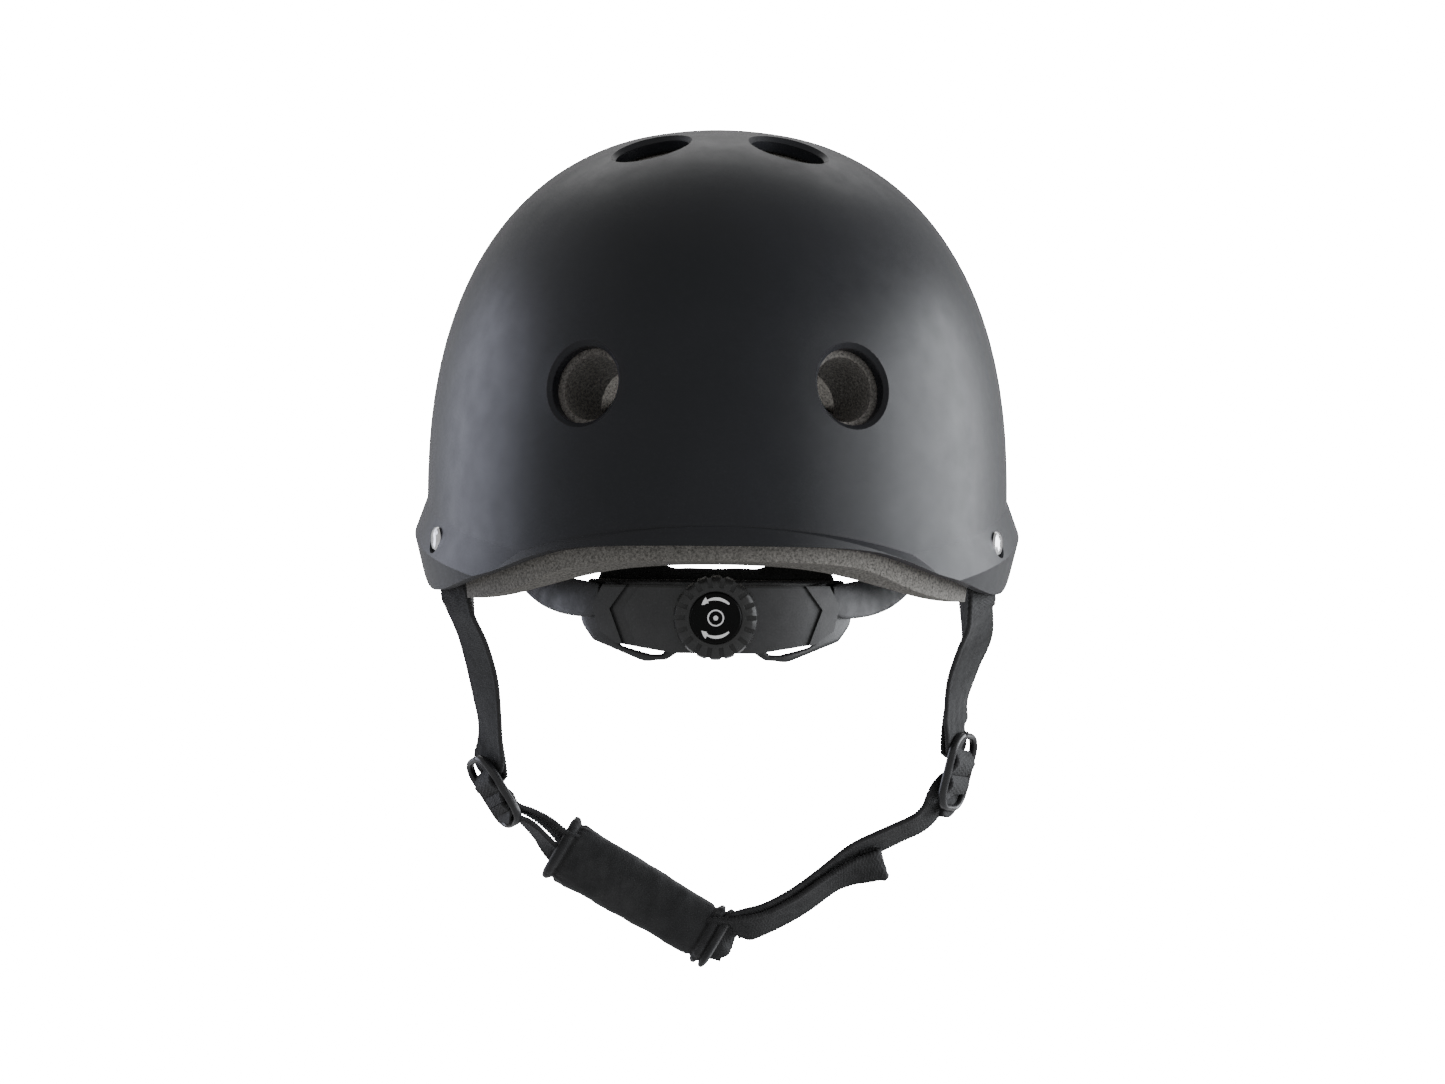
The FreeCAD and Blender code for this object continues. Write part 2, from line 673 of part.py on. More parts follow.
# ---------------------------------------------------------------- dial
def build_dial():
    place = dial_placement()
    knob = turned_body("dial_knob", [
        ("Dims.screw_radius + 0.15", "0.6"), ("6.8", "0.6"), ("6.8", "1.0"), ("11.4", "1.0"),
        ("11.4", "0.6"), ("Dims.knob_radius - 0.8", "0.6"), ("Dims.knob_radius", "1.8"),
        ("Dims.knob_radius", "Dims.knob_height - 3.4"), ("Dims.knob_radius - 0.6", "Dims.knob_height - 1.6"),
        ("Dims.knob_radius - 2.0", "Dims.knob_height - 0.5"), ("Dims.cap_radius + 0.9", "Dims.knob_height"),
        ("Dims.cap_radius + 0.2", "Dims.knob_height"), ("Dims.cap_radius + 0.2", "Dims.knob_height - 1.5"),
        ("Dims.screw_head_radius + 0.3", "Dims.knob_height - 1.5"),
        ("Dims.screw_head_radius + 0.3", "Dims.knob_height - 4.0"),
        ("Dims.screw_radius + 0.15", "Dims.knob_height - 4.0")])
    groove = new_sketch(knob, "groove", "XY_Plane", "Dims.knob_height + 1")
    draw_rectangle(groove, "Dims.cap_radius + 1.4", "-0.75", "Dims.knob_radius + 2", "0.75")
    cut = pocket(knob, groove, "groove_cut", "2.6")
    polar_pattern(knob, cut, "grooves", "Dims.knob_ribs")
    doc.recompute()
    scallop = new_sketch(knob, "scallop", "XY_Plane", "Dims.knob_height + 1")
    draw_circle(scallop, "Dims.knob_radius + 0.35", "0", "1.0")
    bite = pocket(knob, scallop, "scallop_cut", "Dims.knob_height + 2")
    polar_pattern(knob, bite, "scallops", "Dims.knob_ribs")
    knob.Placement = place

    cap = turned_body("dial_cap", [
        ("0", "Dims.knob_height - 1.4"), ("Dims.cap_radius", "Dims.knob_height - 1.4"),
        ("Dims.cap_radius", "Dims.knob_height - 1.9 + Dims.cap_thickness"),
        ("Dims.cap_radius - 0.4", "Dims.knob_height - 1.4 + Dims.cap_thickness"),
        ("0", "Dims.knob_height - 1.2 + Dims.cap_thickness")])
    cap.Placement = place

    pinion = turned_body("dial_pinion", [
        ("Dims.screw_radius + 0.15", "-6.3"), ("Dims.pinion_shaft_radius", "-6.3"),
        ("Dims.pinion_shaft_radius", "0.5"), ("Dims.screw_radius + 0.15", "0.5")])
    tooth_sketch = new_sketch(pinion, "tooth", "XY_Plane", "-6.3")
    draw_rectangle(tooth_sketch, "Dims.pinion_shaft_radius - 0.6", "-Dims.gear_tooth / 2",
                   "Dims.pinion_pitch_radius + Dims.gear_addendum", "Dims.gear_tooth / 2")
    tooth = pad(pinion, tooth_sketch, "tooth_pad", "2.2")
    polar_pattern(pinion, tooth, "teeth", "Dims.pinion_teeth")
    half_tooth = 180.0 / dim("pinion_teeth")
    pinion.Placement = place.multiply(Placement(Vector(0, 0, 0), Rotation(UP, half_tooth)))

    screw = turned_body("dial_screw", [
        ("0", "-7.6"), ("Dims.screw_radius", "-7.6"), ("Dims.screw_radius", "Dims.knob_height - 3.9"),
        ("Dims.screw_head_radius", "Dims.knob_height - 3.9"),
        ("Dims.screw_head_radius", "Dims.knob_height - 2.2"),
        ("Dims.screw_head_radius * 0.6", "Dims.knob_height - 1.7"), ("0", "Dims.knob_height - 1.7")])
    cross = new_sketch(screw, "cross", "XY_Plane", "Dims.knob_height")
    draw_rectangle(cross, "-2.0", "-0.4", "2.0", "0.4")
    slot = pocket(screw, cross, "cross_cut", "3")
    polar_pattern(screw, slot, "cross_slots", "4")
    screw.Placement = place

    ring = turned_body("click_ring", [("7.4", "0.05"), ("10.8", "0.05"), ("10.8", "0.5"), ("7.4", "0.5")])
    bump = new_sketch(ring, "bump", "XY_Plane", "0.4")
    draw_circle(bump, "9.1", "0", "0.8")
    dot = pad(ring, bump, "bump_pad", "0.3")
    polar_pattern(ring, dot, "bumps", "2")
    ring.Placement = place


# ---------------------------------------------------------------- side bands
BAND_SLOPE = 15.0
BAND_REAR = Vector(0, -72.6, -15.8)


def right_band():
    """The flexible band from the right rack's end, along the head, up to its anchor."""
    inner = dim("cavity_half_width") - 3.0
    high = dim("rack_half_height")
    tall = Part.makeCylinder(inner + 1.1, 120, Vector(0, 0, -60))
    ring = tall.cut(Part.makeCylinder(inner, 120, Vector(0, 0, -60)))
    ring.rotate(Vector(0, 0, 0), UP, 180)
    ring = stretched(ring, 99.5 / inner, 0)
    slab = Part.makeBox(100, 94, 2 * high, Vector(0, 0, -high))
    slab = moved(slab, Placement(BAND_REAR, Rotation(Vector(1, 0, 0), BAND_SLOPE)))
    hole = moved(Part.makeCylinder(2.8, 30, Vector(0, 0, -15)), band_anchor_place(1))
    return slab.common(ring).cut(hole)


def build_band_anchor(label, side):
    """A push-in plug that pins the band's front end to the liner."""
    anchor = turned_body(label, [
        ("0", "-12"), ("1.6", "-12"), ("2.5", "-8"), ("2.5", "3.5"), ("6.5", "3.5"), ("6.5", "4.2"),
        ("5.6", "4.9"), ("0", "5.1")])
    anchor.Placement = band_anchor_place(side)


# ---------------------------------------------------------------- webbing above the dividers
LEG_SETBACK = 4.7


def leg_start(index, drop):
    """A point on the webbing behind a rivet, some way below it, with the face's direction."""
    place = rivet_places()[index]
    normal = place.Rotation.multVec(UP)
    point = place.Base - normal * LEG_SETBACK + Vector(0, 0, drop)
    return (point.x, point.y, point.z), (normal.x, normal.y, normal.z)


def build_legs():
    """The four webbing legs: rear and front on each side, meeting at the dividers."""
    lower = {
        "left_rear_strap": (0, [
            ((-90.0, -44.0, -24.0), (-0.80, -0.60, -0.05)), ((-85.2, -36.0, -34.5), (-0.70, -0.60, -0.38)),
            ((-82.6, -26.0, -46.0), (-0.68, -0.52, -0.52)), ((-81.3, -16.0, -58.0), (-0.76, -0.48, -0.43)),
            ((-80.6, -8.0, -67.5), (-0.84, -0.45, -0.32)), ((-80.8, -4.0, -76.0), (-0.87, -0.44, -0.22))]),
        "right_rear_strap": (1, [
            ((91.8, -44.0, -24.0), (0.84, -0.54, -0.03)), ((90.6, -35.0, -34.5), (0.56, -0.59, -0.58)),
            ((87.6, -25.0, -45.0), (0.66, -0.48, -0.58)), ((86.2, -15.0, -55.0), (0.80, -0.38, -0.46)),
            ((86.6, -8.0, -60.5), (0.87, -0.34, -0.36)), ((87.6, -5.0, -64.0), (0.90, -0.34, -0.28))]),
        "left_front_strap": (2, [
            ((-91.0, 47.0, -14.0), (-0.98, 0.2, 0)), ((-89.0, 36.0, -34.0), (-0.99, 0.1, 0)),
            ((-85.2, 22.0, -51.0), (-1, 0, 0)), ((-81.0, 11.0, -66.5), (-0.98, -0.2, 0)),
            ((-77.6, 6.0, -76.0), (-0.95, -0.3, 0))]),
        "right_front_strap": (3, [
            ((92.4, 47.0, -14.0), (0.98, 0.2, 0)), ((92.6, 36.0, -32.0), (0.99, 0.1, 0)),
            ((88.8, 22.0, -48.0), (1, 0, 0)), ((85.6, 11.0, -60.0), (0.98, -0.2, 0)),
            ((84.8, 6.0, -66.5), (0.95, -0.3, 0))]),
    }
    for label, (rivet, stations) in lower.items():
        top = [leg_start(rivet, drop) for drop in (8.0, -2.0, -12.0)]
        strap = webbing(top + stations)
        place = rivet_places()[rivet]
        eyelet = moved(Part.makeCylinder(dim("rivet_shank_radius") + 0.2, 20, Vector(0, 0, -12)), place)
        add_shape(label, strap.cut(eyelet))


# ---------------------------------------------------------------- dividers, chin pad and buckle
LEFT_DIVIDER = (Vector(-87.2, 0.0, -78.3), Vector(0.535, 0, -0.845))
RIGHT_DIVIDER = (Vector(90.8, 0.0, -67.8), Vector(-0.233, 0, -0.972))
CHIN_START = Vector(-57.0, 10.0, -110.5)
CHIN_RUN = Vector(0.867, 0, -0.497)


def divider_placement(top, run, side):
    """The divider's +Y runs up the strap and its +X crosses it, turned away from the rear view."""
    in_view = Vector(-run.z, 0, run.x)
    across = in_view * 0.45 + Vector(0, 0.893, 0) * side
    origin = top + run * (dim("divider_length") / 2)
    return frame_placement(origin, across, run * -1)


def build_divider(label, top, run, side):
    """A moulded plate with three slots: two for the legs and one for the chin strap."""
    body = new_body(label)
    outline = new_sketch(body, "outline", "XY_Plane")
    draw_polygon(outline, [
        ("-Dims.divider_width / 2 + 3", "Dims.divider_length / 2"),
        ("-Dims.divider_width / 2", "Dims.divider_length / 2 - 3"),
        ("-Dims.divider_width / 2", "-Dims.divider_length / 2 + 3"),
        ("-Dims.divider_width / 2 + 3", "-Dims.divider_length / 2"),
        ("Dims.divider_width / 2 - 3", "-Dims.divider_length / 2"),
        ("Dims.divider_width / 2", "-Dims.divider_length / 2 + 3"),
        ("Dims.divider_width / 2", "Dims.divider_length / 2 - 3"),
        ("Dims.divider_width / 2 - 3", "Dims.divider_length / 2")])
    pad(body, outline, "plate", "Dims.divider_thickness", midplane=True)
    slots = new_sketch(body, "slots", "XY_Plane")
    for height in ("8.2", "-0.4", "-9.0"):
        draw_rectangle(slots, "-Dims.webbing_width / 2 - 0.4", f"{height} - 1.8",
                       "Dims.webbing_width / 2 + 0.4", f"{height} + 1.8")
    pocket(body, slots, "slot_cut", "Dims.divider_thickness + 2", midplane=True)
    body.Placement = divider_placement(top, run, side)


def chin_placement(distance):
    """A frame on the chin strap: +X along it, +Y across it, +Z out to the rear."""
    return frame_placement(CHIN_START + CHIN_RUN * distance, CHIN_RUN, Vector(0.497, 0, 0.867))


def build_chin_pad():
    """The soft sleeve under the chin, open from end to end for strap and buckle."""
    body = new_body("chin_pad")
    section = new_sketch(body, "section", "YZ_Plane")
    draw_polygon(section, [
        ("-Dims.chin_pad_width / 2", "-2"),
        ("-Dims.chin_pad_width / 2 + 3.5", "-Dims.chin_pad_thickness / 2"),
        ("Dims.chin_pad_width / 2 - 3.5", "-Dims.chin_pad_thickness / 2"), ("Dims.chin_pad_width / 2", "-2"),
        ("Dims.chin_pad_width / 2", "2"), ("Dims.chin_pad_width / 2 - 3.5", "Dims.chin_pad_thickness / 2"),
        ("-Dims.chin_pad_width / 2 + 3.5", "Dims.chin_pad_thickness / 2"), ("-Dims.chin_pad_width / 2", "2")])
    draw_rectangle(section, "-Dims.buckle_width / 2 - 0.8", "-Dims.buckle_thickness / 2 - 0.6",
                   "Dims.buckle_width / 2 + 0.8", "Dims.buckle_thickness / 2 + 0.6")
    pad(body, section, "sleeve", "Dims.chin_pad_length")
    body.Placement = chin_placement(0)


SOCKET_START = 38.0
PLUG_START = SOCKET_START + 22.4


def build_buckle():
    """A side-release buckle: socket on the left strap, plug with two prongs on the right one."""
    socket = new_body("buckle_socket")
    outline = new_sketch(socket, "outline", "XY_Plane")
    draw_rectangle(outline, "0", "-Dims.buckle_width / 2", "Dims.socket_length", "Dims.buckle_width / 2")
    pad(socket, outline, "block", "Dims.buckle_thickness", midplane=True)
    mouth = new_sketch(socket, "mouth", "XY_Plane")
    draw_rectangle(mouth, "7", "-Dims.buckle_width / 2 + 1.6", "Dims.socket_length + 2",
                   "Dims.buckle_width / 2 - 1.6")
    pocket(socket, mouth, "mouth_cut", "Dims.buckle_thickness - 2.6", midplane=True)
    windows = new_sketch(socket, "windows", "XY_Plane")
    draw_rectangle(windows, "9", "-Dims.buckle_width / 2 - 1", "14", "Dims.buckle_width / 2 + 1")
    pocket(socket, windows, "window_cut", "Dims.buckle_thickness - 2.6", midplane=True)
    socket.Placement = chin_placement(SOCKET_START)

    plug = new_body("buckle_plug")
    base = new_sketch(plug, "base", "XY_Plane")
    draw_rectangle(base, "0", "-Dims.buckle_width / 2", "Dims.plug_length", "Dims.buckle_width / 2")
    pad(plug, base, "block", "Dims.buckle_thickness - 0.8", midplane=True)
    prongs = new_sketch(plug, "prongs", "XY_Plane")
    for sign in ("", "-"):
        draw_polygon(prongs, [
            ("1", f"{sign}3.4"), ("-9", f"{sign}3.6"), ("-13", f"{sign}3.2"), ("-13", f"{sign}5.0"),
            ("-11", f"{sign}6.2"), ("-8.6", f"{sign}6.4"), ("-8.6", f"{sign}5.4"), ("1", f"{sign}5.8")])
    draw_rectangle(prongs, "-10", "-0.9", "1", "0.9")
    pad(plug, prongs, "prong_pad", "Dims.buckle_thickness - 3.4", midplane=True)
    slots = new_sketch(plug, "slots", "XY_Plane")
    for start in ("3.6", "9.2"):
        draw_rectangle(slots, start, "-Dims.webbing_width / 2 + 1.2", f"{start} + 2.6",
                       "Dims.webbing_width / 2 - 1.2")
    pocket(plug, slots, "slot_cut", "Dims.buckle_thickness + 2", midplane=True)
    plug.Placement = chin_placement(PLUG_START)


def build_lower_straps():
    """The chin strap's two halves, and the folded loose end of the adjustable one."""
    face = (0, -1, 0)
    inside = [CHIN_START + CHIN_RUN * distance for distance in (-5.6, -2.0, 6.0, 20.0, SOCKET_START - 0.4)]
    left = [((-69.9, 1.8, -105.8), (-0.755, -0.449, -0.478)), ((-65.2, 6.6, -107.0), (-0.36, -0.9, -0.24))]
    left += [((point.x, point.y, point.z), face) for point in inside]
    add_shape("left_chin_strap", webbing(left, width=dim("webbing_width") - 1.0))
    right = [((6.8, 5.0, -142.6), (0.05, -0.95, -0.2)), ((12.0, 5.2, -139.2), (0.15, -0.8, -0.58)),
             ((19.0, 5.8, -135.6), (0.25, -0.62, -0.74)), ((30.6, 6.2, -129.3), (0.38, -0.56, -0.73)),
             ((40.3, 6.2, -121.2), (0.45, -0.55, -0.70)), ((51.4, 5.6, -114.8), (0.45, -0.55, -0.70)),
             ((65.0, 4.2, -106.4), (0.45, -0.55, -0.70)), ((74.5, 2.4, -100.8), (0.62, -0.52, -0.58)),
             ((78.6, 0.8, -97.0), (0.74, -0.50, -0.45))]
    add_shape("right_chin_strap", webbing(right))
    spare = []
    for centre, look in right[3:6]:
        shift = Vector(*look).normalize() * (dim("webbing_thickness") + 0.9)
        point = Vector(*centre) + shift + Vector(0, 0, -2.4)
        spare.append(((point.x, point.y, point.z), look))
    tip = Vector(*right[6][0]) * 0.55 + Vector(*right[5][0]) * 0.45 + Vector(2.2, -2.8, -6.2)
    spare.append(((tip.x, tip.y, tip.z), (0.45, -0.5, -0.74)))
    add_shape("strap_loose_end", webbing(spare))


# ---------------------------------------------------------------- build and write
def check_document():
    for item in doc.Objects:
        if "Invalid" in item.State or "Error" in item.State:
            raise RuntimeError(f"{item.Name} is in state {item.State}")
    for node in NODES:
        if node.Shape.isNull() or not node.Shape.isValid():
            raise RuntimeError(f"{node.Label} has no valid shape")


def write_parts():
    os.makedirs("parts", exist_ok=True)
    for node in NODES:
        node.Shape.exportStep(f"parts/{node.Label}.step")
        box = node.Shape.BoundBox
        print(f"{node.Label:20s} solids {len(node.Shape.Solids)} volume {node.Shape.Volume:10.1f}"
              f"  x {box.XMin:7.1f} {box.XMax:7.1f}  y {box.YMin:7.1f} {box.YMax:7.1f}"
              f"  z {box.ZMin:7.1f} {box.ZMax:7.1f}")


build_rivets(build_outer_shell())
build_foam_liner()
build_pads()
build_housing()
build_cradle_frame()
build_cradle_pad()
for name, sign in SIDES:
    build_rack(f"{name}_rack", sign)
    build_band_anchor(f"{name}_band_anchor", sign)
add_shape("right_band", right_band())
add_shape("left_band", mirrored(right_band()))
build_dial()
build_legs()
build_divider("left_strap_divider", *LEFT_DIVIDER, -1)
build_divider("right_strap_divider", *RIGHT_DIVIDER, 1)
build_chin_pad()
build_buckle()
build_lower_straps()
doc.recompute()
check_document()
write_parts()
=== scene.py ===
"""Looks of the water helmet: materials, soft parts, printed marks, light and camera.

Points and sizes are written in millimetres and turned into metres where a mesh is made.
"""
import math
import bmesh
import bpy
from mathutils import Matrix, Vector, noise


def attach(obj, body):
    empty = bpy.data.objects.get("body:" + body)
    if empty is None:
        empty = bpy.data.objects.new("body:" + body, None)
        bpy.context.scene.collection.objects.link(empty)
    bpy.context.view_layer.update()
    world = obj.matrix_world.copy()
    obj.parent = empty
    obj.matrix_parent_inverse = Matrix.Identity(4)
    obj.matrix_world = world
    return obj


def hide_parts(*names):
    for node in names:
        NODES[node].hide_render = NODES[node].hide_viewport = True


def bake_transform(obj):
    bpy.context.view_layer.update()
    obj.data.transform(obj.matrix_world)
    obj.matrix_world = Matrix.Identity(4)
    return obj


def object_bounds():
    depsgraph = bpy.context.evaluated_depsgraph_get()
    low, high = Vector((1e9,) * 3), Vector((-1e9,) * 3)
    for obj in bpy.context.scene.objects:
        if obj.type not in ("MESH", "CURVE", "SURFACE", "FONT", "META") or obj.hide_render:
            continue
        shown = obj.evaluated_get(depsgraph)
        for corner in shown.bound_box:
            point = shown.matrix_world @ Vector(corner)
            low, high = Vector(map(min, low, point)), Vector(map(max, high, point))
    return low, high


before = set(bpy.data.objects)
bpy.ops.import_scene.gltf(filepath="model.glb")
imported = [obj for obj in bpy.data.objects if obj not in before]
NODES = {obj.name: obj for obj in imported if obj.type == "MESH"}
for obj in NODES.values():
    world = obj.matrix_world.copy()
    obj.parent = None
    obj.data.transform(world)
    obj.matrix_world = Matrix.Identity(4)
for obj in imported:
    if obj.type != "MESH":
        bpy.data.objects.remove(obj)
CAD_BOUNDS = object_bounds()
MM = 0.001
SIDES = (("left", -1), ("right", 1))
# The shell's plan is an ellipse: half its width, half its length, and its middle's y.
SHELL_HALF_WIDTH = 104.0
SHELL_HALF_LENGTH = 127.5
SHELL_MIDDLE = 2.5


# ---------------------------------------------------------------- materials
BEAD_SIZE = 1.5
PAINTED_SHADE_LINE = (-15.4, -15.1)  # the heights between which the housing's colour turns to painted shade, a black strip along its top


class Paint:
    """A Principled material with a few procedural layers on object coordinates."""

    def __init__(self, name, colour, roughness, metallic=0.0, specular=0.5):
        self.material = bpy.data.materials.new(name)
        self.material.use_nodes = True
        self.tree = self.material.node_tree
        self.shader = self.tree.nodes["Principled BSDF"]
        self.shader.inputs["Base Color"].default_value = (*colour, 1.0)
        self.shader.inputs["Roughness"].default_value = roughness
        self.shader.inputs["Metallic"].default_value = metallic
        self.shader.inputs["Specular IOR Level"].default_value = specular
        self.place = self.node("ShaderNodeTexCoord").outputs["Object"]

    def node(self, kind):
        return self.tree.nodes.new(kind)

    def link(self, source, target):
        self.tree.links.new(source, target)

    def noise(self, size_mm, detail=3.0, rough=0.5):
        node = self.node("ShaderNodeTexNoise")
        node.inputs["Scale"].default_value = 1.0 / (size_mm * MM)
        node.inputs["Detail"].default_value = detail
        node.inputs["Roughness"].default_value = rough
        self.link(self.place, node.inputs["Vector"])
        return node.outputs["Fac"]

    def cells(self, size_mm):
        node = self.node("ShaderNodeTexVoronoi")
        node.inputs["Scale"].default_value = 1.0 / (size_mm * MM)
        self.link(self.place, node.inputs["Vector"])
        return node.outputs["Distance"]

    def ramp(self, source, low, high, start=0.3, end=0.7):
        """Values from low to high, as numbers or colours, where source goes from start to end."""
        node = self.node("ShaderNodeValToRGB")
        for stop, place, value in zip(node.color_ramp.elements, (start, end), (low, high)):
            stop.position = place
            stop.color = (value, value, value, 1) if isinstance(value, float) else (*value, 1)
        self.link(source, node.inputs["Fac"])
        return node.outputs["Color"]

    def colour(self, source, low, high, start=0.3, end=0.7):
        self.link(self.ramp(source, low, high, start, end), self.shader.inputs["Base Color"])
        return self

    def roughness(self, source, low, high):
        self.link(self.ramp(source, low, high), self.shader.inputs["Roughness"])
        return self

    def bump(self, source, strength, depth_mm):
        """Adds a bump layer over any layer that is there already."""
        node = self.node("ShaderNodeBump")
        node.inputs["Strength"].default_value = strength
        node.inputs["Distance"].default_value = depth_mm * MM
        self.link(source, node.inputs["Height"])
        target = self.shader.inputs["Normal"]
        if target.is_linked:
            self.link(target.links[0].from_socket, node.inputs["Normal"])
        self.link(node.outputs["Normal"], target)
        return self

    def sheen(self, weight, roughness=0.5):
        self.shader.inputs["Sheen Weight"].default_value = weight
        self.shader.inputs["Sheen Roughness"].default_value = roughness
        return self


def shell_paint():
    """Matt blue-black lacquer with a fine powdery grain."""
    paint = Paint("shell_matt_lacquer", (0.010, 0.0105, 0.013), 0.40, specular=0.30)
    paint.colour(paint.noise(38, 4), (0.0085, 0.009, 0.0115), (0.0115, 0.012, 0.015))
    paint.roughness(paint.noise(9, 5), 0.37, 0.44)
    paint.bump(paint.noise(0.45, 2), 0.14, 0.08)
    paint.bump(paint.noise(26, 1), 0.06, 0.2)
    return paint.material


def foam_paint():
    """Moulded bead foam: small packed beads, some paler and some darker, with a grainy skin."""
    paint = Paint("bead_foam", (0.09, 0.085, 0.08), 0.85, specular=0.25)
    paint.colour(paint.noise(0.75, 4, 0.7), (0.065, 0.062, 0.057), (0.260, 0.248, 0.228), 0.34, 0.68)
    paint.bump(paint.cells(BEAD_SIZE), 0.5, 0.35)
    paint.bump(paint.noise(0.4, 3), 0.4, 0.12)
    return paint.material


def cloth_paint(name, low, high, knit_mm, depth_mm):
    """Fine knitted or brushed cloth."""
    paint = Paint(name, low, 0.88, specular=0.25)
    paint.colour(paint.noise(7, 4), low, high)
    paint.bump(paint.cells(knit_mm), 0.6, depth_mm)
    paint.bump(paint.noise(0.25, 2), 0.35, 0.08)
    return paint.sheen(0.25).material


def webbing_paint():
    """Black polyester webbing: the weave is in the mesh, this adds the yarn's own fibres."""
    paint = Paint("polyester_webbing", (0.03, 0.03, 0.03), 0.78, specular=0.2)
    paint.colour(paint.noise(3.0, 5), (0.020, 0.020, 0.0205), (0.036, 0.036, 0.037))
    paint.bump(paint.noise(0.22, 3, 0.7), 0.6, 0.10)
    return paint.sheen(0.12, 0.4).material


def plastic_paint(name, colour, roughness, grain_mm=0.7, grain_depth=0.06, specular=0.5):
    """Injection-moulded plastic with a faint grain and handling marks in its gloss."""
    paint = Paint(name, colour, roughness, specular=specular)
    darker = tuple(value * 0.8 for value in colour)
    lighter = tuple(value * 1.2 for value in colour)
    paint.colour(paint.noise(12, 4), darker, lighter)
    paint.roughness(paint.noise(5, 6), roughness * 0.85, min(roughness * 1.2, 1.0))
    paint.bump(paint.noise(grain_mm, 2), 0.35, grain_depth)
    return paint.material


def housing_paint():
    """The housing's satin plastic, with painted shade along its top: a jet black strip where a recessed
    step lies in shade.
    """
    paint = Paint("housing_satin_painted_shade", (0.030, 0.030, 0.031), 0.38)
    parts = paint.node("ShaderNodeSeparateXYZ")
    paint.link(paint.place, parts.inputs["Vector"])
    step = paint.node("ShaderNodeMapRange")
    step.inputs["From Min"].default_value = PAINTED_SHADE_LINE[0] * MM
    step.inputs["From Max"].default_value = PAINTED_SHADE_LINE[1] * MM
    paint.link(parts.outputs["Z"], step.inputs["Value"])
    mix = paint.node("ShaderNodeMix")
    mix.data_type = "RGBA"
    paint.link(step.outputs["Result"], mix.inputs["Factor"])
    plastic = paint.ramp(paint.noise(12, 4), (0.026, 0.026, 0.027), (0.036, 0.036, 0.037))
    paint.link(plastic, mix.inputs["A"])
    # painted shade: the jet black colour of the housing's top strip
    mix.inputs["B"].default_value = (0.004, 0.004, 0.004, 1)
    paint.link(mix.outputs["Result"], paint.shader.inputs["Base Color"])
    paint.roughness(paint.noise(5, 6), 0.32, 0.46)
    paint.bump(paint.noise(0.7, 2), 0.35, 0.06)
    return paint.material


def metal_paint(name, colour, roughness):
    paint = Paint(name, colour, roughness, metallic=1.0)
    paint.roughness(paint.noise(1.2, 6, 0.7), roughness * 0.7, roughness * 1.5)
    paint.bump(paint.noise(3.0, 2), 0.15, 0.08)
    return paint.material


def print_paint():
    """White pad-printed ink."""
    paint = Paint("white_ink", (0.75, 0.75, 0.74), 0.5)
    paint.colour(paint.noise(0.9, 4), (0.84, 0.84, 0.83), (0.96, 0.96, 0.95))
    return paint.material


MATERIALS = {
    "shell": shell_paint(),
    "foam": foam_paint(),
    "pad": cloth_paint("brushed_pad_cloth", (0.022, 0.022, 0.024), (0.040, 0.040, 0.042), 0.9, 0.20),
    "chin": cloth_paint("knitted_sleeve", (0.016, 0.016, 0.017), (0.030, 0.030, 0.031), 0.6, 0.14),
    "neoprene": cloth_paint("black_neoprene", (0.004, 0.004, 0.004), (0.009, 0.009, 0.009), 0.5, 0.08),
    "loop": cloth_paint("hook_and_loop", (0.010, 0.010, 0.010), (0.022, 0.022, 0.022), 0.8, 0.5),
    "webbing": webbing_paint(),
    "housing": housing_paint(),
    "frame": plastic_paint("nape_frame", (0.024, 0.024, 0.025), 0.30),
    "band": plastic_paint("band_nylon", (0.030, 0.030, 0.033), 0.46),
    "knob": plastic_paint("knob_gloss", (0.020, 0.020, 0.020), 0.24, 0.9, 0.03),
    "cap": plastic_paint("cap_black", (0.002, 0.002, 0.002), 0.30, 0.4, 0.03, 0.12),
    "divider": plastic_paint("divider_acetal", (0.017, 0.017, 0.018), 0.26),
    "buckle": plastic_paint("buckle_acetal", (0.010, 0.010, 0.010), 0.22),
    "washer": plastic_paint("washer_nylon", (0.012, 0.012, 0.012), 0.45),
    "gear": plastic_paint("gear_acetal", (0.55, 0.55, 0.52), 0.40),
    "rivet": metal_paint("rivet_chrome", (0.80, 0.80, 0.81), 0.14),
    "steel": metal_paint("plated_steel", (0.58, 0.58, 0.58), 0.28),
    "ink": print_paint(),
}

NODE_FINISH = {
    "outer_shell": "shell", "foam_liner": "foam", "pad_fasteners": "loop", "strap_rivets": "rivet",
    "rivet_washers": "washer", "left_band_anchor": "washer", "right_band_anchor": "washer",
    "housing_cover": "housing", "dial_pinion": "gear", "dial_screw": "steel", "click_ring": "steel",
}


def set_material(obj, key):
    obj.data.materials.clear()
    obj.data.materials.append(MATERIALS[key])
    return obj


def paint_cad_nodes():
    """The nodes that show as they are in CAD get their materials."""
    for node, key in NODE_FINISH.items():
        for slot in NODES[node].material_slots:
            slot.material = MATERIALS[key]


# ---------------------------------------------------------------- mesh helpers
WELD_DISTANCE = 0.01
FLAT_ANGLE = math.radians(1.0)  # faces that meet flatter than this are one face
EDGE_ANGLE = math.radians(28)  # edges sharper than this are rounded
CLOTH_FRAMES = 20


def new_piece(name, points, faces, key, smooth=True):
    """A mesh object from points in millimetres."""
    mesh = bpy.data.meshes.new(name)
    mesh.from_pydata([Vector(point) * MM for point in points], [], faces)
    mesh.validate()
    obj = link_object(name, mesh)
    if smooth:
        shade_smooth(obj)
    return set_material(obj, key)


def link_object(name, data):
    obj = bpy.data.objects.new(name, data)
    bpy.context.scene.collection.objects.link(obj)
    return obj


def shade_smooth(obj):
    obj.data.polygons.foreach_set("use_smooth", [True] * len(obj.data.polygons))


def stand_in(obj, node, key, body):
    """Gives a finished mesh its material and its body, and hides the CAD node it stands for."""
    set_material(obj, key)
    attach(obj, body)
    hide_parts(node)


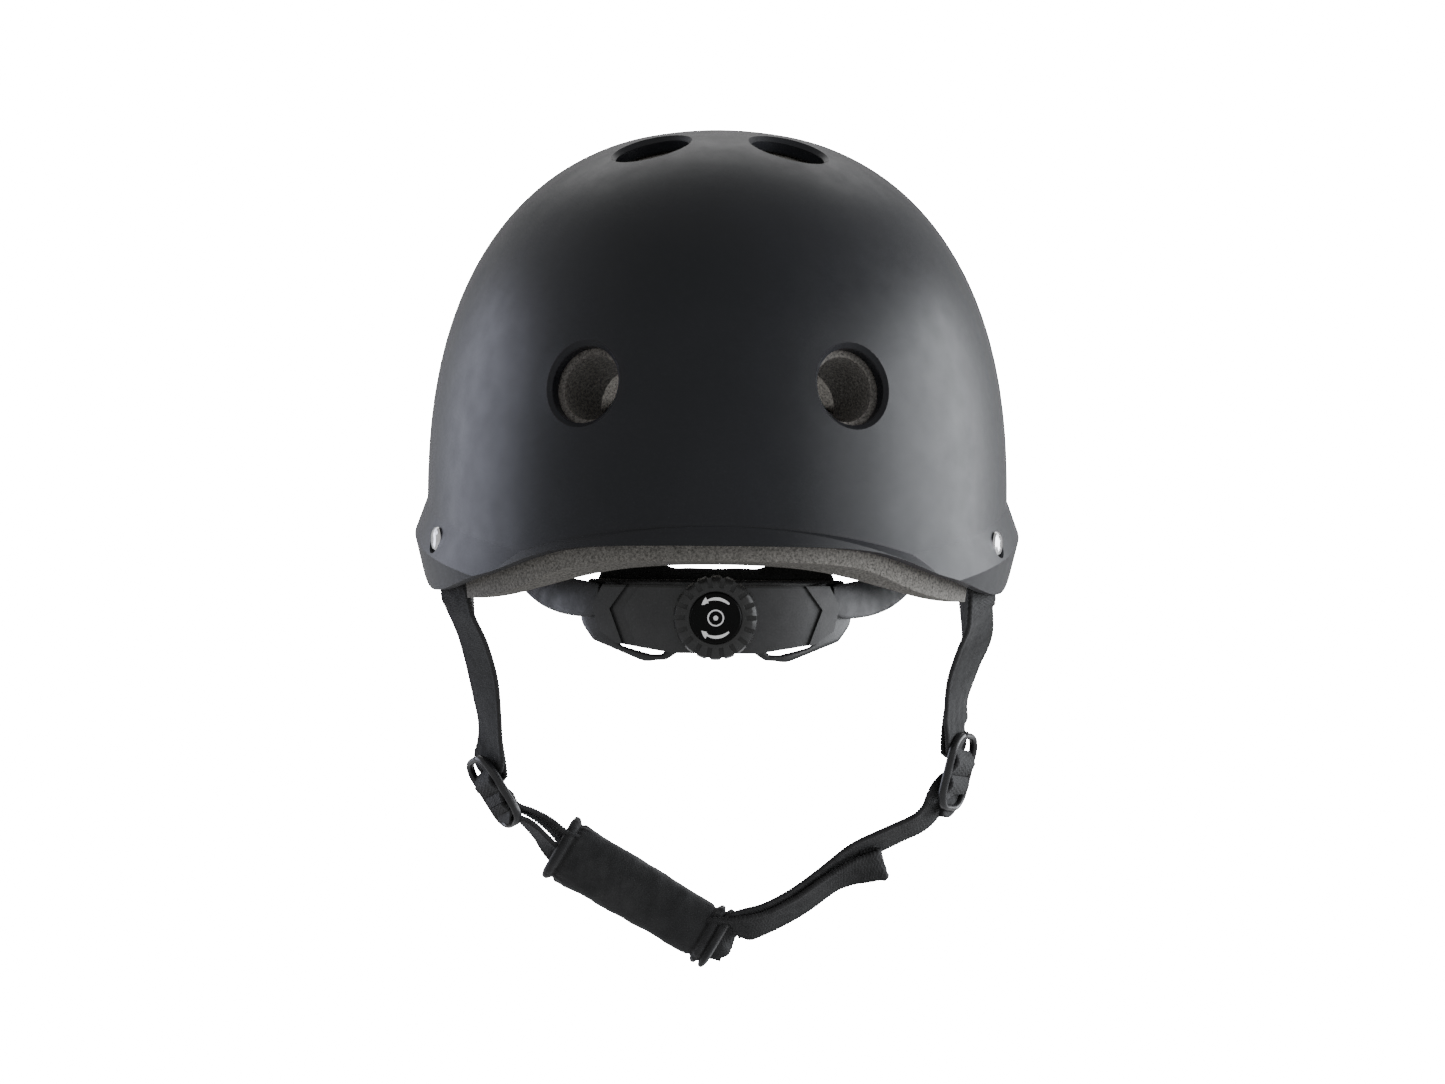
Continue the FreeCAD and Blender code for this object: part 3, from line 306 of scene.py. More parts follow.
def tube_faces(sections, corners, closed=False, capped=True):
    """Quads between neighbouring sections of a tube, whose ends meet, or are capped, or stay open."""
    quads = []
    for section in range(sections if closed else sections - 1):
        base = section * corners
        above = (section + 1) % sections * corners
        for corner in range(corners):
            following = (corner + 1) % corners
            quads.append((base + corner, base + following, above + following, above + corner))
    if capped and not closed:
        last = (sections - 1) * corners
        quads.append(tuple(reversed(range(corners))))
        quads.append(tuple(last + corner for corner in range(corners)))
    return quads


def apply_modifiers(obj):
    """Bakes the modifiers into the mesh."""
    graph = bpy.context.evaluated_depsgraph_get()
    mesh = bpy.data.meshes.new_from_object(obj.evaluated_get(graph))
    obj.modifiers.clear()
    obj.data = mesh


def node_copy(node, name):
    """A welded copy of a CAD node's mesh, ready for rounding or remeshing."""
    mesh = NODES[node].data.copy()
    work = bmesh.new()
    work.from_mesh(mesh)
    bmesh.ops.remove_doubles(work, verts=work.verts, dist=WELD_DISTANCE * MM)
    bmesh.ops.dissolve_limit(work, angle_limit=FLAT_ANGLE, verts=work.verts, edges=work.edges)
    work.to_mesh(mesh)
    work.free()
    mesh.name = name
    return link_object(name, mesh)


def rounded_piece(node, key, radius_mm, body, segments=3, shaped=None):
    """Stands for a moulded CAD node with its edges rounded as a mould leaves them."""
    obj = shaped or node_copy(node, f"{node}_moulded")
    bevel = obj.modifiers.new("edges", "BEVEL")
    bevel.width = radius_mm * MM
    bevel.segments = segments
    bevel.limit_method = "ANGLE"
    bevel.angle_limit = EDGE_ANGLE
    bevel.use_clamp_overlap = True
    weights = obj.modifiers.new("shading", "WEIGHTED_NORMAL")
    weights.weight = 100
    shade_smooth(obj)
    apply_modifiers(obj)
    stand_in(obj, node, key, body)


def cut_back(obj, point, normal):
    """Takes off what lies past a plane, and closes the cut."""
    work = bmesh.new()
    work.from_mesh(obj.data)
    geometry = list(work.verts) + list(work.edges) + list(work.faces)
    made = bmesh.ops.bisect_plane(work, geom=geometry, plane_co=Vector(point) * MM,
                                  plane_no=normal, clear_outer=True)
    edges = [item for item in made["geom_cut"] if isinstance(item, bmesh.types.BMEdge)]
    bmesh.ops.holes_fill(work, edges=edges)
    work.to_mesh(obj.data)
    work.free()
    return obj


def even_piece(node, voxel_mm, inset_mm):
    """A soft node's solid as an even mesh, a little smaller than the CAD solid."""
    obj = node_copy(node, f"{node}_soft")
    remesh = obj.modifiers.new("even", "REMESH")
    remesh.mode = "VOXEL"
    remesh.voxel_size = voxel_mm * MM
    ease = obj.modifiers.new("ease", "CORRECTIVE_SMOOTH")
    ease.factor = 0.6
    ease.iterations = 4
    ease.use_only_smooth = True
    apply_modifiers(obj)
    for vertex in obj.data.vertices:
        vertex.co -= vertex.normal * inset_mm * MM
    return obj


def add_cloth(obj, pressure):
    """Cloth that air pressure fills, with no gravity."""
    cloth = obj.modifiers.new("cover", "CLOTH")
    cloth.settings.quality = 6
    cloth.settings.mass = 0.25
    cloth.settings.use_pressure = True
    cloth.settings.uniform_pressure_force = pressure
    cloth.settings.effector_weights.gravity = 0.0
    cloth.collision_settings.use_collision = False
    cloth.point_cache.frame_end = CLOTH_FRAMES


def run_cloth(pieces, most_mm):
    """Lets the covers fill, caps how far a point may move, and keeps the result as plain meshes."""
    before = [[vertex.co.copy() for vertex in obj.data.vertices] for obj in pieces]
    scene = bpy.context.scene
    for step in range(1, CLOTH_FRAMES + 1):
        scene.frame_set(step)
    for obj, rest in zip(pieces, before):
        apply_modifiers(obj)
        for vertex, start in zip(obj.data.vertices, rest):
            shift = vertex.co - start
            if shift.length > most_mm * MM:
                vertex.co = start + shift.normalized() * most_mm * MM
    scene.frame_set(1)


def finish_soft(obj, node, key, body, wrinkle_mm):
    """One subdivision, a light crumple in the cover, then its material and its body."""
    finer = obj.modifiers.new("finer", "SUBSURF")
    finer.levels = 1
    apply_modifiers(obj)
    for vertex in obj.data.vertices:
        ripple = noise.noise(vertex.co / (9 * MM)) + 0.5 * noise.noise(vertex.co / (4 * MM))
        vertex.co += vertex.normal * ripple * wrinkle_mm * MM
    shade_smooth(obj)
    stand_in(obj, node, key, body)


def smooth_path(points, steps):
    """Evenly numbered samples of a Catmull-Rom curve through the points."""
    points = [Vector(point) for point in points]
    ends = [points[0] * 2 - points[1]] + points + [points[-1] * 2 - points[-2]]
    samples = []
    for index in range(len(points) - 1):
        a, b, c, d = ends[index:index + 4]
        for step in range(steps):
            u = step / steps
            samples.append(0.5 * (2 * b + (c - a) * u + (2 * a - 5 * b + 4 * c - d) * u**2
                                  + (3 * b - a - 3 * c + d) * u**3))
    return samples + [points[-1]]


# ---------------------------------------------------------------- webbing
WEBBING_WIDTH = 16.0
WEBBING_THICKNESS = 1.6
WEBBING_STEP = 0.42  # the longest distance between two sections
PICK = 1.15  # from one rib of the weave to the next
RIB_HEIGHT = 0.13
TWILL_WIDTH = 4.0  # the width over which the ribs slant one way and back
SELVEDGE = 1.1
COLUMNS = 26  # points across each face


def weave_height(along, across, width):
    """The woven face: small slanted ribs that change direction across the width, and a firm edge."""
    chevron = abs((across / TWILL_WIDTH) % 1.0 - 0.5) * 2.0
    rib = math.sin(2 * math.pi * (along / PICK + chevron * 0.9))
    edge = 0.12 if abs(across) > width / 2 - SELVEDGE else 0.0
    return RIB_HEIGHT * rib + edge


def webbing(name, stations, width=WEBBING_WIDTH):
    """Woven webbing through stations, each a centre point and the way its face looks."""
    span = max((Vector(a[0]) - Vector(b[0])).length for a, b in zip(stations, stations[1:]))
    steps = max(int(span / WEBBING_STEP), 4)
    centres = smooth_path([centre for centre, _ in stations], steps)
    faces_out = smooth_path([face for _, face in stations], steps)
    points = []
    along = 0.0
    for index, centre in enumerate(centres):
        before = centres[max(index - 1, 0)]
        after = centres[min(index + 1, len(centres) - 1)]
        if index:
            along += (centre - before).length
        run = (after - before).normalized()
        side = run.cross(faces_out[index]).normalized()
        out = side.cross(run).normalized()
        scallop = 0.10 * math.sin(2 * math.pi * along / PICK)
        for face, direction in ((1, 1), (-1, -1)):
            for column in range(COLUMNS):
                share = column / (COLUMNS - 1) * 2 - 1
                across = direction * share * (width / 2 + (scallop if abs(share) > 0.95 else 0))
                drop = 0.45 if abs(share) > 0.99 else 0.0
                height = WEBBING_THICKNESS / 2 + weave_height(along, across, width) - drop
                points.append(centre + side * across + out * face * height)
    obj = new_piece(name, points, tube_faces(len(centres), 2 * COLUMNS), "webbing")
    return obj


REAR_RIVET = (-48.0, 0.0)  # y and height
FRONT_RIVET = (52.0, 21.0)
LEG_DEPTH = 4.7  # from the rivet's head in to the middle of the webbing


def rivet_frame(index):
    """The middle of one rivet's head and the way it looks; the first two are the rear ones."""
    side = -1 if index % 2 == 0 else 1
    along, height = REAR_RIVET if index < 2 else FRONT_RIVET
    forward = along - SHELL_MIDDLE
    across = math.sqrt(1 - (forward / SHELL_HALF_LENGTH) ** 2) * SHELL_HALF_WIDTH
    normal = Vector((side * across / SHELL_HALF_WIDTH**2, forward / SHELL_HALF_LENGTH**2, 0)).normalized()
    return Vector((side * across, along, height)), normal


def leg_top(index):
    """Stations behind a rivet, from above it to below it, where a rear leg starts to turn."""
    point, normal = rivet_frame(index)
    turned = (normal + Vector((0, -0.30, 0))).normalized() if index < 2 else normal
    return [(point - normal * LEG_DEPTH + Vector((0, 0, drop)), look)
            for drop, look in ((8.0, normal), (-2.0, normal), (-11.0, turned))]


DIVIDERS = {  # the middle of the top edge, the way down and the way its face looks
    "left": (Vector((-87.2, 0, -78.3)), Vector((0.535, 0, -0.845)), Vector((-0.755, -0.449, -0.478))),
    "right": (Vector((90.8, 0, -67.8)), Vector((-0.233, 0, -0.972)), Vector((0.868, -0.449, -0.208))),
}


def divider_point(side, down, out):
    """A place on a divider: how far down from its top, and how far out from its middle plane."""
    top, run, look = DIVIDERS[side]
    return top + run * down + look * out


def through_divider(side, steps):
    """Stations that thread the slots; each step is (down, out, how far the face tips upwards)."""
    _, run, look = DIVIDERS[side]
    return [(divider_point(side, down, out), look - run * tip) for down, out, tip in steps]


LEGS = {  # the rivet that holds each leg, and its stations below the shell
    "left_rear_strap": (0, [
        ((-91.0, -45.0, -17.0), (-0.78, -0.62, 0)), ((-89.4, -43.5, -24.0), (-0.76, -0.64, -0.08)),
        ((-85.2, -36.0, -34.5), (-0.70, -0.60, -0.38)),
        ((-82.6, -26.0, -46.0), (-0.68, -0.52, -0.52)), ((-81.3, -16.0, -58.0), (-0.76, -0.48, -0.43)),
        ((-80.4, -9.0, -68.0), (-0.84, -0.45, -0.32)), ((-80.4, -4.0, -75.6), (-0.80, -0.48, -0.36))]),
    "right_rear_strap": (1, [
        ((92.4, -45.0, -17.0), (0.80, -0.60, 0)), ((91.8, -44.0, -24.0), (0.80, -0.58, -0.06)),
        ((90.6, -35.0, -34.5), (0.62, -0.59, -0.50)),
        ((87.6, -25.0, -45.0), (0.66, -0.48, -0.58)), ((86.2, -15.0, -55.0), (0.80, -0.38, -0.46)),
        ((86.0, -8.0, -61.0), (0.87, -0.34, -0.36)), ((86.6, -3.5, -66.8), (0.88, -0.42, -0.25))]),
    "left_front_strap": (2, [
        ((-92.4, 47.0, -14.0), (-0.99, 0.1, 0)), ((-90.2, 36.0, -34.0), (-0.99, 0.1, 0)),
        ((-85.2, 22.0, -51.0), (-1, 0, 0)), ((-81.0, 11.0, -66.5), (-0.98, -0.2, 0)),
        ((-78.6, 5.0, -78.0), (-0.90, -0.36, -0.2)), ((-77.2, 1.4, -87.6), (-0.80, -0.43, -0.40))]),
    "right_front_strap": (3, [
        ((92.4, 47.0, -14.0), (0.98, 0.2, 0)), ((92.6, 36.0, -32.0), (0.99, 0.1, 0)),
        ((88.8, 22.0, -48.0), (1, 0, 0)), ((85.4, 11.0, -60.0), (0.98, -0.2, 0)),
        ((84.2, 5.5, -68.5), (0.94, -0.34, -0.1)), ((84.6, 2.4, -77.5), (0.87, -0.44, -0.2))]),
}
REAR_THREADING = (
    (4.8, -3.6, 0.1), (7.0, -1.2, -0.6), (10.5, 1.9, 0.0), (14.0, 0.6, 0.5), (16.0, -0.9, 0.5))


def make_legs():
    """Each leg hangs from its rivet and bends into the chin strap at its divider."""
    for node, (rivet, stations) in LEGS.items():
        top = leg_top(rivet)
        if "rear" in node:
            stations = stations + through_divider(node.split("_")[0], REAR_THREADING)
        obj = webbing(f"{node}_webbing", top + stations)
        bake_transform(obj)
        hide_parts(node)


CHIN_START = Vector((-57.0, 10.0, -110.5))
CHIN_RUN = Vector((0.8676, 0.0, -0.4973)).normalized()
CHIN_ACROSS = Vector((0.4973, 0.0, 0.8676)).normalized()
CHIN_OUT = Vector((0, -1, 0))
SLEEVE_LENGTH = 68.3


def chin_point(distance, across=0.0, out=0.0):
    """A place in the sleeve's own frame: along it, up across it and out towards the camera."""
    return CHIN_START + CHIN_RUN * distance + CHIN_ACROSS * across + CHIN_OUT * out


RIGHT_STATIONS = [
    ((12.6, 4.6, -137.6), (0.10, -0.72, -0.68)), ((20.5, 5.4, -134.4), (0.22, -0.62, -0.75)),
    ((30.6, 6.2, -128.6), (0.38, -0.58, -0.72)), ((40.8, 6.2, -120.8), (0.45, -0.55, -0.70)),
    ((51.8, 5.6, -111.8), (0.42, -0.52, -0.74)), ((64.4, 4.2, -105.2), (0.38, -0.48, -0.79)),
    ((73.0, 2.6, -100.9), (0.56, -0.50, -0.66)), ((78.0, 1.0, -96.0), (0.80, -0.50, -0.34)),
    ((81.0, 0.2, -90.6), (0.80, -0.56, -0.20))]


def make_left_chin_strap():
    """The fixed half threads its divider and runs doubled into the sleeve, down to the socket."""
    _, run, look = DIVIDERS["left"]
    strap = through_divider("left", ((19.2, 1.7, 0.0), (16.2, 0.8, 1.4)))
    strap.append((divider_point("left", 16.8, -1.5), run * -0.9 - look * 0.8))
    strap += [((-74.0, 2.2, -94.9), (0.40, 0.24, 0.88)), ((-68.4, 5.2, -97.4), (0.36, 0.22, 0.90)),
              ((-62.0, 8.2, -101.0), (0.42, 0.26, 0.87)), (chin_point(0.5, 3.8), (0.40, 0.40, 0.82)),
              (chin_point(10.0, 1.2), CHIN_OUT * -1), (chin_point(37.0), CHIN_OUT * -1)]
    upper = webbing("left_chin_strap_webbing", strap, width=WEBBING_WIDTH - 1.0)
    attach(upper, "chin_strap")
    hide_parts("left_chin_strap")
    back = through_divider("left", ((19.2, 1.9, 0.0), (22.2, 0.8, 0.5), (22.6, -1.4, 0.5)))
    back += [((-71.0, 3.6, -99.7), (-0.62, -0.30, -0.72)), ((-67.0, 6.0, -102.6), (-0.70, -0.34, -0.62)),
             ((-62.4, 8.4, -107.6), (-0.74, -0.42, -0.52)),
             (chin_point(0.0, -2.2, -1.2), (-0.60, -0.62, -0.50)),
             (chin_point(8.0, -1.0, -2.2), CHIN_OUT), (chin_point(16.0, -0.5, -2.4), CHIN_OUT)]
    lower = webbing("left_chin_strap_return", back, width=WEBBING_WIDTH - 3.0)
    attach(lower, "chin_strap")


def make_right_chin_strap():
    """The adjustable half wraps the plug's bar, runs up to its divider and threads it."""
    wrap = [(chin_point(70.6, 1.0, -2.2), CHIN_OUT * -1), (chin_point(67.6, 0.3, -2.5), CHIN_OUT * -1),
            (chin_point(65.4), CHIN_RUN * -1), (chin_point(66.2, 0.6, 2.4), CHIN_OUT),
            (chin_point(67.4, 3.2, 2.4), CHIN_RUN * 0.6 + CHIN_OUT * 0.8),
            (chin_point(69.0, 6.6, 2.2), CHIN_RUN * 0.8 + CHIN_OUT * 0.5 - CHIN_ACROSS * 0.2),
            (chin_point(71.3, 9.4, 3.0), CHIN_RUN * 0.45 + CHIN_OUT * 0.62 - CHIN_ACROSS * 0.6)]
    threading = through_divider(
        "right", ((23.8, -1.8, 0.3), (22.0, 0.2, 0.5), (19.2, 1.7, 0.0), (16.2, 0.4, -0.5)))
    obj = webbing("right_chin_strap_webbing", wrap + RIGHT_STATIONS + threading)
    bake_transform(obj)
    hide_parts("right_chin_strap")


LOOSE_WIDTH = 13.0
LOOSE_GAP = 1.9  # from the middle of the strap out to the middle of the spare webbing
LOOSE_TIP = [
    ((47.5, 5.0, -120.3), (0.42, -0.62, -0.66)), ((53.6, 4.2, -118.0), (0.26, -0.78, -0.57)),
    ((58.8, 4.4, -116.5), (0.30, -0.82, -0.48)), ((60.9, 5.6, -115.7), (0.95, -0.20, 0.20)),
    ((59.2, 7.2, -115.2), (0.05, 0.84, 0.54)), ((54.0, 8.0, -116.4), (-0.25, 0.80, 0.55))]


def make_loose_end():
    """The spare webbing leaves the plug, lies under the strap and is folded back at its tip."""
    spare = [(chin_point(70.0, 7.0, 4.2), CHIN_RUN * 0.7 + CHIN_OUT * 0.6)]
    for (centre, look), drop in zip(RIGHT_STATIONS[:4], (0.2, 0.5, 0.8, 1.2)):
        spare.append((Vector(centre) + Vector(look).normalized() * LOOSE_GAP + Vector((0, 0, -drop)), look))
    spare += LOOSE_TIP
    obj = webbing("strap_loose_end_webbing", spare, width=LOOSE_WIDTH)
    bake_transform(obj)
    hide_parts("strap_loose_end")


# ---------------------------------------------------------------- chin sleeve
SLEEVE_HALF_WIDTH = (11.6, 10.3)  # at its upper mouth and at its lower one
SLEEVE_HALF_DEPTH = (5.9, 5.6)
SLEEVE_LIPS = ((0.9, 1.7, 1.6), (1.7, SLEEVE_LENGTH - 1.5, 1.4), (1.3, SLEEVE_LENGTH - 5.0, 1.3))
SLEEVE_VALLEYS = ((0.9, 4.3, 0.8), (0.7, SLEEVE_LENGTH - 3.3, 0.5), (0.8, SLEEVE_LENGTH - 7.2, 0.8))
MOUTH_HALF_WIDTH = 9.4
MOUTH_HALF_DEPTH = 4.2
SECTION_POWER = 2.7  # 2 gives an ellipse, more gives a squarer section


def section_point(angle, half_width, half_depth):
    """A point of a rounded oblong section: across the strap, then out from it."""
    c, s = math.cos(angle), math.sin(angle)
    return (math.copysign(abs(c) ** (2 / SECTION_POWER), c) * half_width,
            math.copysign(abs(s) ** (2 / SECTION_POWER), s) * half_depth)


def bell(distance, centre, reach, power=4):
    """A smooth bump of height 1 about a centre."""
    return math.exp(-abs((distance - centre) / reach) ** power)


def sleeve_swell(distance):
    """How far the cover stands out at each place along it: rolled lips and sewn valleys at its ends."""
    lips = sum(height * bell(distance, centre, reach) for height, centre, reach in SLEEVE_LIPS)
    valleys = sum(depth * bell(distance, centre, reach, 2) for depth, centre, reach in SLEEVE_VALLEYS)
    return lips - valleys


def make_chin_sleeve():
    """A stuffed knitted sleeve: lips at both mouths, puckers beside the seams, a soft crumpled body."""
    around, length_steps, lip = 104, 130, 1.3
    rows = []
    for step in range(length_steps + 1):
        share = step / length_steps
        distance = share * SLEEVE_LENGTH
        end = max(0.0, 1 - min(distance, SLEEVE_LENGTH - distance) / lip)
        closing = math.sqrt(max(0.0, 1 - end**2))
        wide, deep = (first + (last - first) * share
                      for first, last in (SLEEVE_HALF_WIDTH, SLEEVE_HALF_DEPTH))
        rows.append((distance, wide, deep, closing))
    for share in (0.985, 0.5, 0.015):
        rows.append((share * SLEEVE_LENGTH, MOUTH_HALF_WIDTH, MOUTH_HALF_DEPTH, None))
    points = []
    for distance, wide, deep, closing in rows:
        edge = min(distance, SLEEVE_LENGTH - distance)
        for spoke in range(around):
            angle = 2 * math.pi * spoke / around
            across, out = section_point(angle, wide, deep)
            normal = (CHIN_ACROSS * across / wide**2 + CHIN_OUT * out / deep**2).normalized()
            spot = chin_point(distance, across, out)
            if closing is None:
                points.append(spot)
                continue
            crumple = 0.6 * noise.noise(Vector((distance / 10, across / 9, out / 7)))
            crumple += 0.22 * noise.noise(Vector((distance / 3.2, across / 4, out / 4)))
            fold = math.sin(angle * 17 + 3 * noise.noise(spot / 6))
            pucker = 0.25 * fold * math.exp(-abs(edge - 5.5) / 2.2)
            rib = 0.05 * math.sin(distance * 2 * math.pi / 1.05)
            raised = spot + normal * (sleeve_swell(distance) + crumple + pucker + rib)
            inner_across, inner_out = section_point(angle, MOUTH_HALF_WIDTH, MOUTH_HALF_DEPTH)
            mouth = chin_point(distance, inner_across, inner_out)
            points.append(mouth + (raised - mouth) * (0.25 + 0.75 * closing))
    obj = new_piece("chin_pad_sleeve", points, tube_faces(len(rows), around, closed=True), "chin")
    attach(obj, "chin_sleeve")
    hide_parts("chin_pad")


# ---------------------------------------------------------------- dial marks
DIAL_CENTRE = Vector((0, -104.0, -25.0))
ARROW_RADIUS = 6.3
ARROW_HALF_WIDTH = 0.52
ARROW_STEPS = 14
ARROW_HEAD = ((0.0, 1.35), (0.5, 0.7), (1.0, 0.03))  # share of the head's length, half width


def dial_point(radius, angle, lift):
    """A point on the dial's face: angle runs counter-clockwise from +X, seen from the rear."""
    return DIAL_CENTRE + Vector((radius * math.cos(angle), -lift, radius * math.sin(angle)))


def flat_mark(name, outline, lift=9.16, depth=0.16):
    """A thin raised mark from (radius, angle) corners given in strips of pairs."""
    points, quads = [], []
    for inner, outer in outline:
        for height in (lift, lift - depth):
            points += [dial_point(*inner, height), dial_point(*outer, height)]
    for index in range(len(outline) - 1):
        a, b = 4 * index, 4 * (index + 1)
        quads += [(a, a + 1, b + 1, b), (a + 2, b + 2, b + 3, a + 3),
                  (a, b, b + 2, a + 2), (a + 1, a + 3, b + 3, b + 1)]
    last = 4 * (len(outline) - 1)
    quads += [(0, 2, 3, 1), (last, last + 1, last + 3, last + 2)]
    obj = new_piece(name, points, quads, "ink", smooth=False)
    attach(obj, "dial")


def arrow(name, start, end, head):
    """A curved arrow whose head is at its end angle."""
    tip = end + math.copysign(head, end - start)
    widths = []
    for step in range(ARROW_STEPS + 1):
        share = step / ARROW_STEPS
        swell = 0.25 + 0.75 * math.sin(math.pi * min(1, 0.12 + share * 0.75))
        widths.append((start + (end - start) * share, ARROW_HALF_WIDTH * swell))
    widths += [(end + (tip - end) * share, width) for share, width in ARROW_HEAD]
    flat_mark(name, [((ARROW_RADIUS - width, angle), (ARROW_RADIUS + width, angle))
                     for angle, width in widths])


def make_dial_marks():
    """Two curved arrows for tighten and loosen, with a plain ring and dot between them."""
    arrow("dial_arrow_top", math.radians(46), math.radians(116), math.radians(22))
    arrow("dial_arrow_bottom", math.radians(-46), math.radians(-116), math.radians(-22))
    ring = [((2.3, math.radians(step * 10)), (2.75, math.radians(step * 10))) for step in range(37)]
    flat_mark("dial_ring_mark", ring, lift=9.28, depth=0.2)
    dot = [((0.05, math.radians(step * 20)), (0.8, math.radians(step * 20))) for step in range(19)]
    flat_mark("dial_dot_mark", dot, lift=9.34, depth=0.2)


# ---------------------------------------------------------------- strap dividers
DIVIDER_HALF_WIDTH = 9.3
DIVIDER_HALF_LENGTH = 13.3
DIVIDER_MIDDLE = 14.5  # down from its top
DIVIDER_CORNER = 6.4
DIVIDER_BARS = (10.6, 19.2)  # how far down each bar is
RING_HALF_AXES = (1.2, 1.6)
BAR_HALF_AXES = (1.9, 0.9)
BAR_HALF_STEPS = 8


def tube_mesh(centres, half_axes, look, closed):
    """Points and faces of a rounded tube that lies in a plane: its half axes are in it and out of it."""
    flat_half, out_half = half_axes
    spokes = 18
    count = len(centres)
    points = []
    for index, centre in enumerate(centres):
        before = centres[index - 1] if closed or index else centre
        after = centres[(index + 1) % count] if closed or index < count - 1 else centre
        flat = (after - before).normalized().cross(look).normalized()
        for spoke in range(spokes):
            angle = 2 * math.pi * spoke / spokes
            points.append(centre + flat * flat_half * math.cos(angle) + look * out_half * math.sin(angle))
    return points, tube_faces(count, spokes, closed)


def make_dividers():
    """A moulded ring with round edges and two flat bars, which the webbing threads."""
    for side, (top, run, look) in DIVIDERS.items():
        across = run.cross(look).normalized()
        middle = top + run * DIVIDER_MIDDLE
        ring = []
        for turn, (x_sign, y_sign) in enumerate(((1, 1), (-1, 1), (-1, -1), (1, -1))):
            for step in range(11):
                angle = math.pi / 2 * (turn + step / 10)
                x = x_sign * (DIVIDER_HALF_WIDTH - DIVIDER_CORNER) + DIVIDER_CORNER * math.cos(angle)
                y = y_sign * (DIVIDER_HALF_LENGTH - DIVIDER_CORNER) + DIVIDER_CORNER * math.sin(angle)
                ring.append(middle + across * x - run * y)
        points, quads = tube_mesh(ring, RING_HALF_AXES, look, True)
        for down in DIVIDER_BARS:
            bar = [top + run * down + across * DIVIDER_HALF_WIDTH * step / BAR_HALF_STEPS
                   for step in range(-BAR_HALF_STEPS, BAR_HALF_STEPS + 1)]
            bar_points, bar_quads = tube_mesh(bar, BAR_HALF_AXES, look, False)
            quads += [tuple(corner + len(points) for corner in quad) for quad in bar_quads]
            points += bar_points
        obj = new_piece(f"{side}_strap_divider_ring", points, quads, "divider")
        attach(obj, "chin_strap")
        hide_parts(f"{side}_strap_divider")


# ---------------------------------------------------------------- moulded pieces
PLUG_END = 68.2  # along the sleeve's frame
PLUG_NECK = 62.5
NECK_THINNING = 0.45


def make_moulded_pieces():
    """The buckle, the housing with its frame, and the dial: CAD shapes with moulded edges."""
    rounded_piece("buckle_socket", "buckle", 0.8, "chin_strap", 4)
    rounded_piece("buckle_plug", "buckle", 0.5, "buckle_half", 4, shaped=short_plug())
    rounded_piece("dial_housing", "housing", 0.5, "cradle")
    soft_edged_frame()
    rounded_piece("dial_knob", "knob", 0.25, "dial")
    rounded_piece("dial_cap", "cap", 0.3, "dial")


def soft_edged_frame():
    """The nape frame: thick moulded arms with fully rounded edges and corners."""
    obj = node_copy("cradle_frame", "cradle_frame_moulded")
    even = obj.modifiers.new("even", "REMESH")
    even.mode = "VOXEL"
    even.voxel_size = 0.6 * MM
    ease = obj.modifiers.new("ease", "SMOOTH")
    ease.factor = 0.5
    ease.iterations = 18
    apply_modifiers(obj)
    shade_smooth(obj)
    stand_in(obj, "cradle_frame", "frame", "cradle")


def short_plug():
    """The plug ends at its first bar, which is thinner than its body, as the webbing wraps it."""
    obj = cut_back(node_copy("buckle_plug", "buckle_plug_moulded"), chin_point(PLUG_END), CHIN_RUN)
    for vertex in obj.data.vertices:
        place = vertex.co / MM - CHIN_START
        if place.dot(CHIN_RUN) > PLUG_NECK:
            vertex.co -= CHIN_OUT * place.dot(CHIN_OUT) * NECK_THINNING * MM
    return obj


# ---------------------------------------------------------------- adjustment bands
BLADE_PATH = (  # x, y, height of the middle, half height, from the housing to the anchor
    (39.2, -86.1, -19.0, 4.6), (42.0, -84.0, -19.5, 5.8), (45.0, -81.4, -19.4, 6.2),
    (49.5, -76.6, -18.8, 6.4), (54.5, -69.6, -17.6, 6.6), (61.0, -57.6, -14.7, 6.8),
    (67.5, -42.5, -10.0, 6.4), (71.5, -28.3, -4.4, 5.8), (74.2, -9.7, 1.1, 5.4),
    (74.5, 8.0, 5.9, 5.4), (73.6, 17.0, 8.3, 5.2), (73.3, 19.4, 8.9, 3.6))
BLADE_THICKNESS = 1.1
BLADE_STEPS = 8
RACK_CUT = 37.0


def make_bands():
    """Each flexible band: a wide thin blade from the housing's end, along the head, to its anchor."""
    for side, sign in SIDES:
        centres = smooth_path([(sign * x, y, z) for x, y, z, _ in BLADE_PATH], BLADE_STEPS)
        halves = smooth_path([(half, 0, 0) for _, _, _, half in BLADE_PATH], BLADE_STEPS)
        section = blade_section(16)
        points = []
        for index, centre in enumerate(centres):
            before = centres[max(index - 1, 0)]
            after = centres[min(index + 1, len(centres) - 1)]
            run = after - before
            outward = Vector((run.y, -run.x, 0)).normalized() * sign
            for height, depth in section:
                half = halves[index].x
                points.append(centre + Vector((0, 0, height * half)) + outward * depth)
        obj = new_piece(f"{side}_band_blade", points, tube_faces(len(centres), len(section)), "band")
        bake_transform(obj)
        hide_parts(f"{side}_band")
        rack = node_copy(f"{side}_rack", f"{side}_rack_tail")
        cut_back(rack, (sign * RACK_CUT, 0, 0), Vector((sign, 0, 0)))
        stand_in(rack, f"{side}_rack", "band", f"rack_{side}")


def blade_section(steps):
    """(share of the half height, depth): a flat blade with full round edges and a slight crown."""
    section = []
    for step in range(2 * steps):
        angle = 2 * math.pi * (step + 0.5) / (2 * steps)
        height = math.copysign(abs(math.sin(angle)) ** 0.28, math.sin(angle))
        depth = math.copysign(abs(math.cos(angle)) ** 0.7, math.cos(angle)) * BLADE_THICKNESS / 2
        section.append((height, depth))
    return section


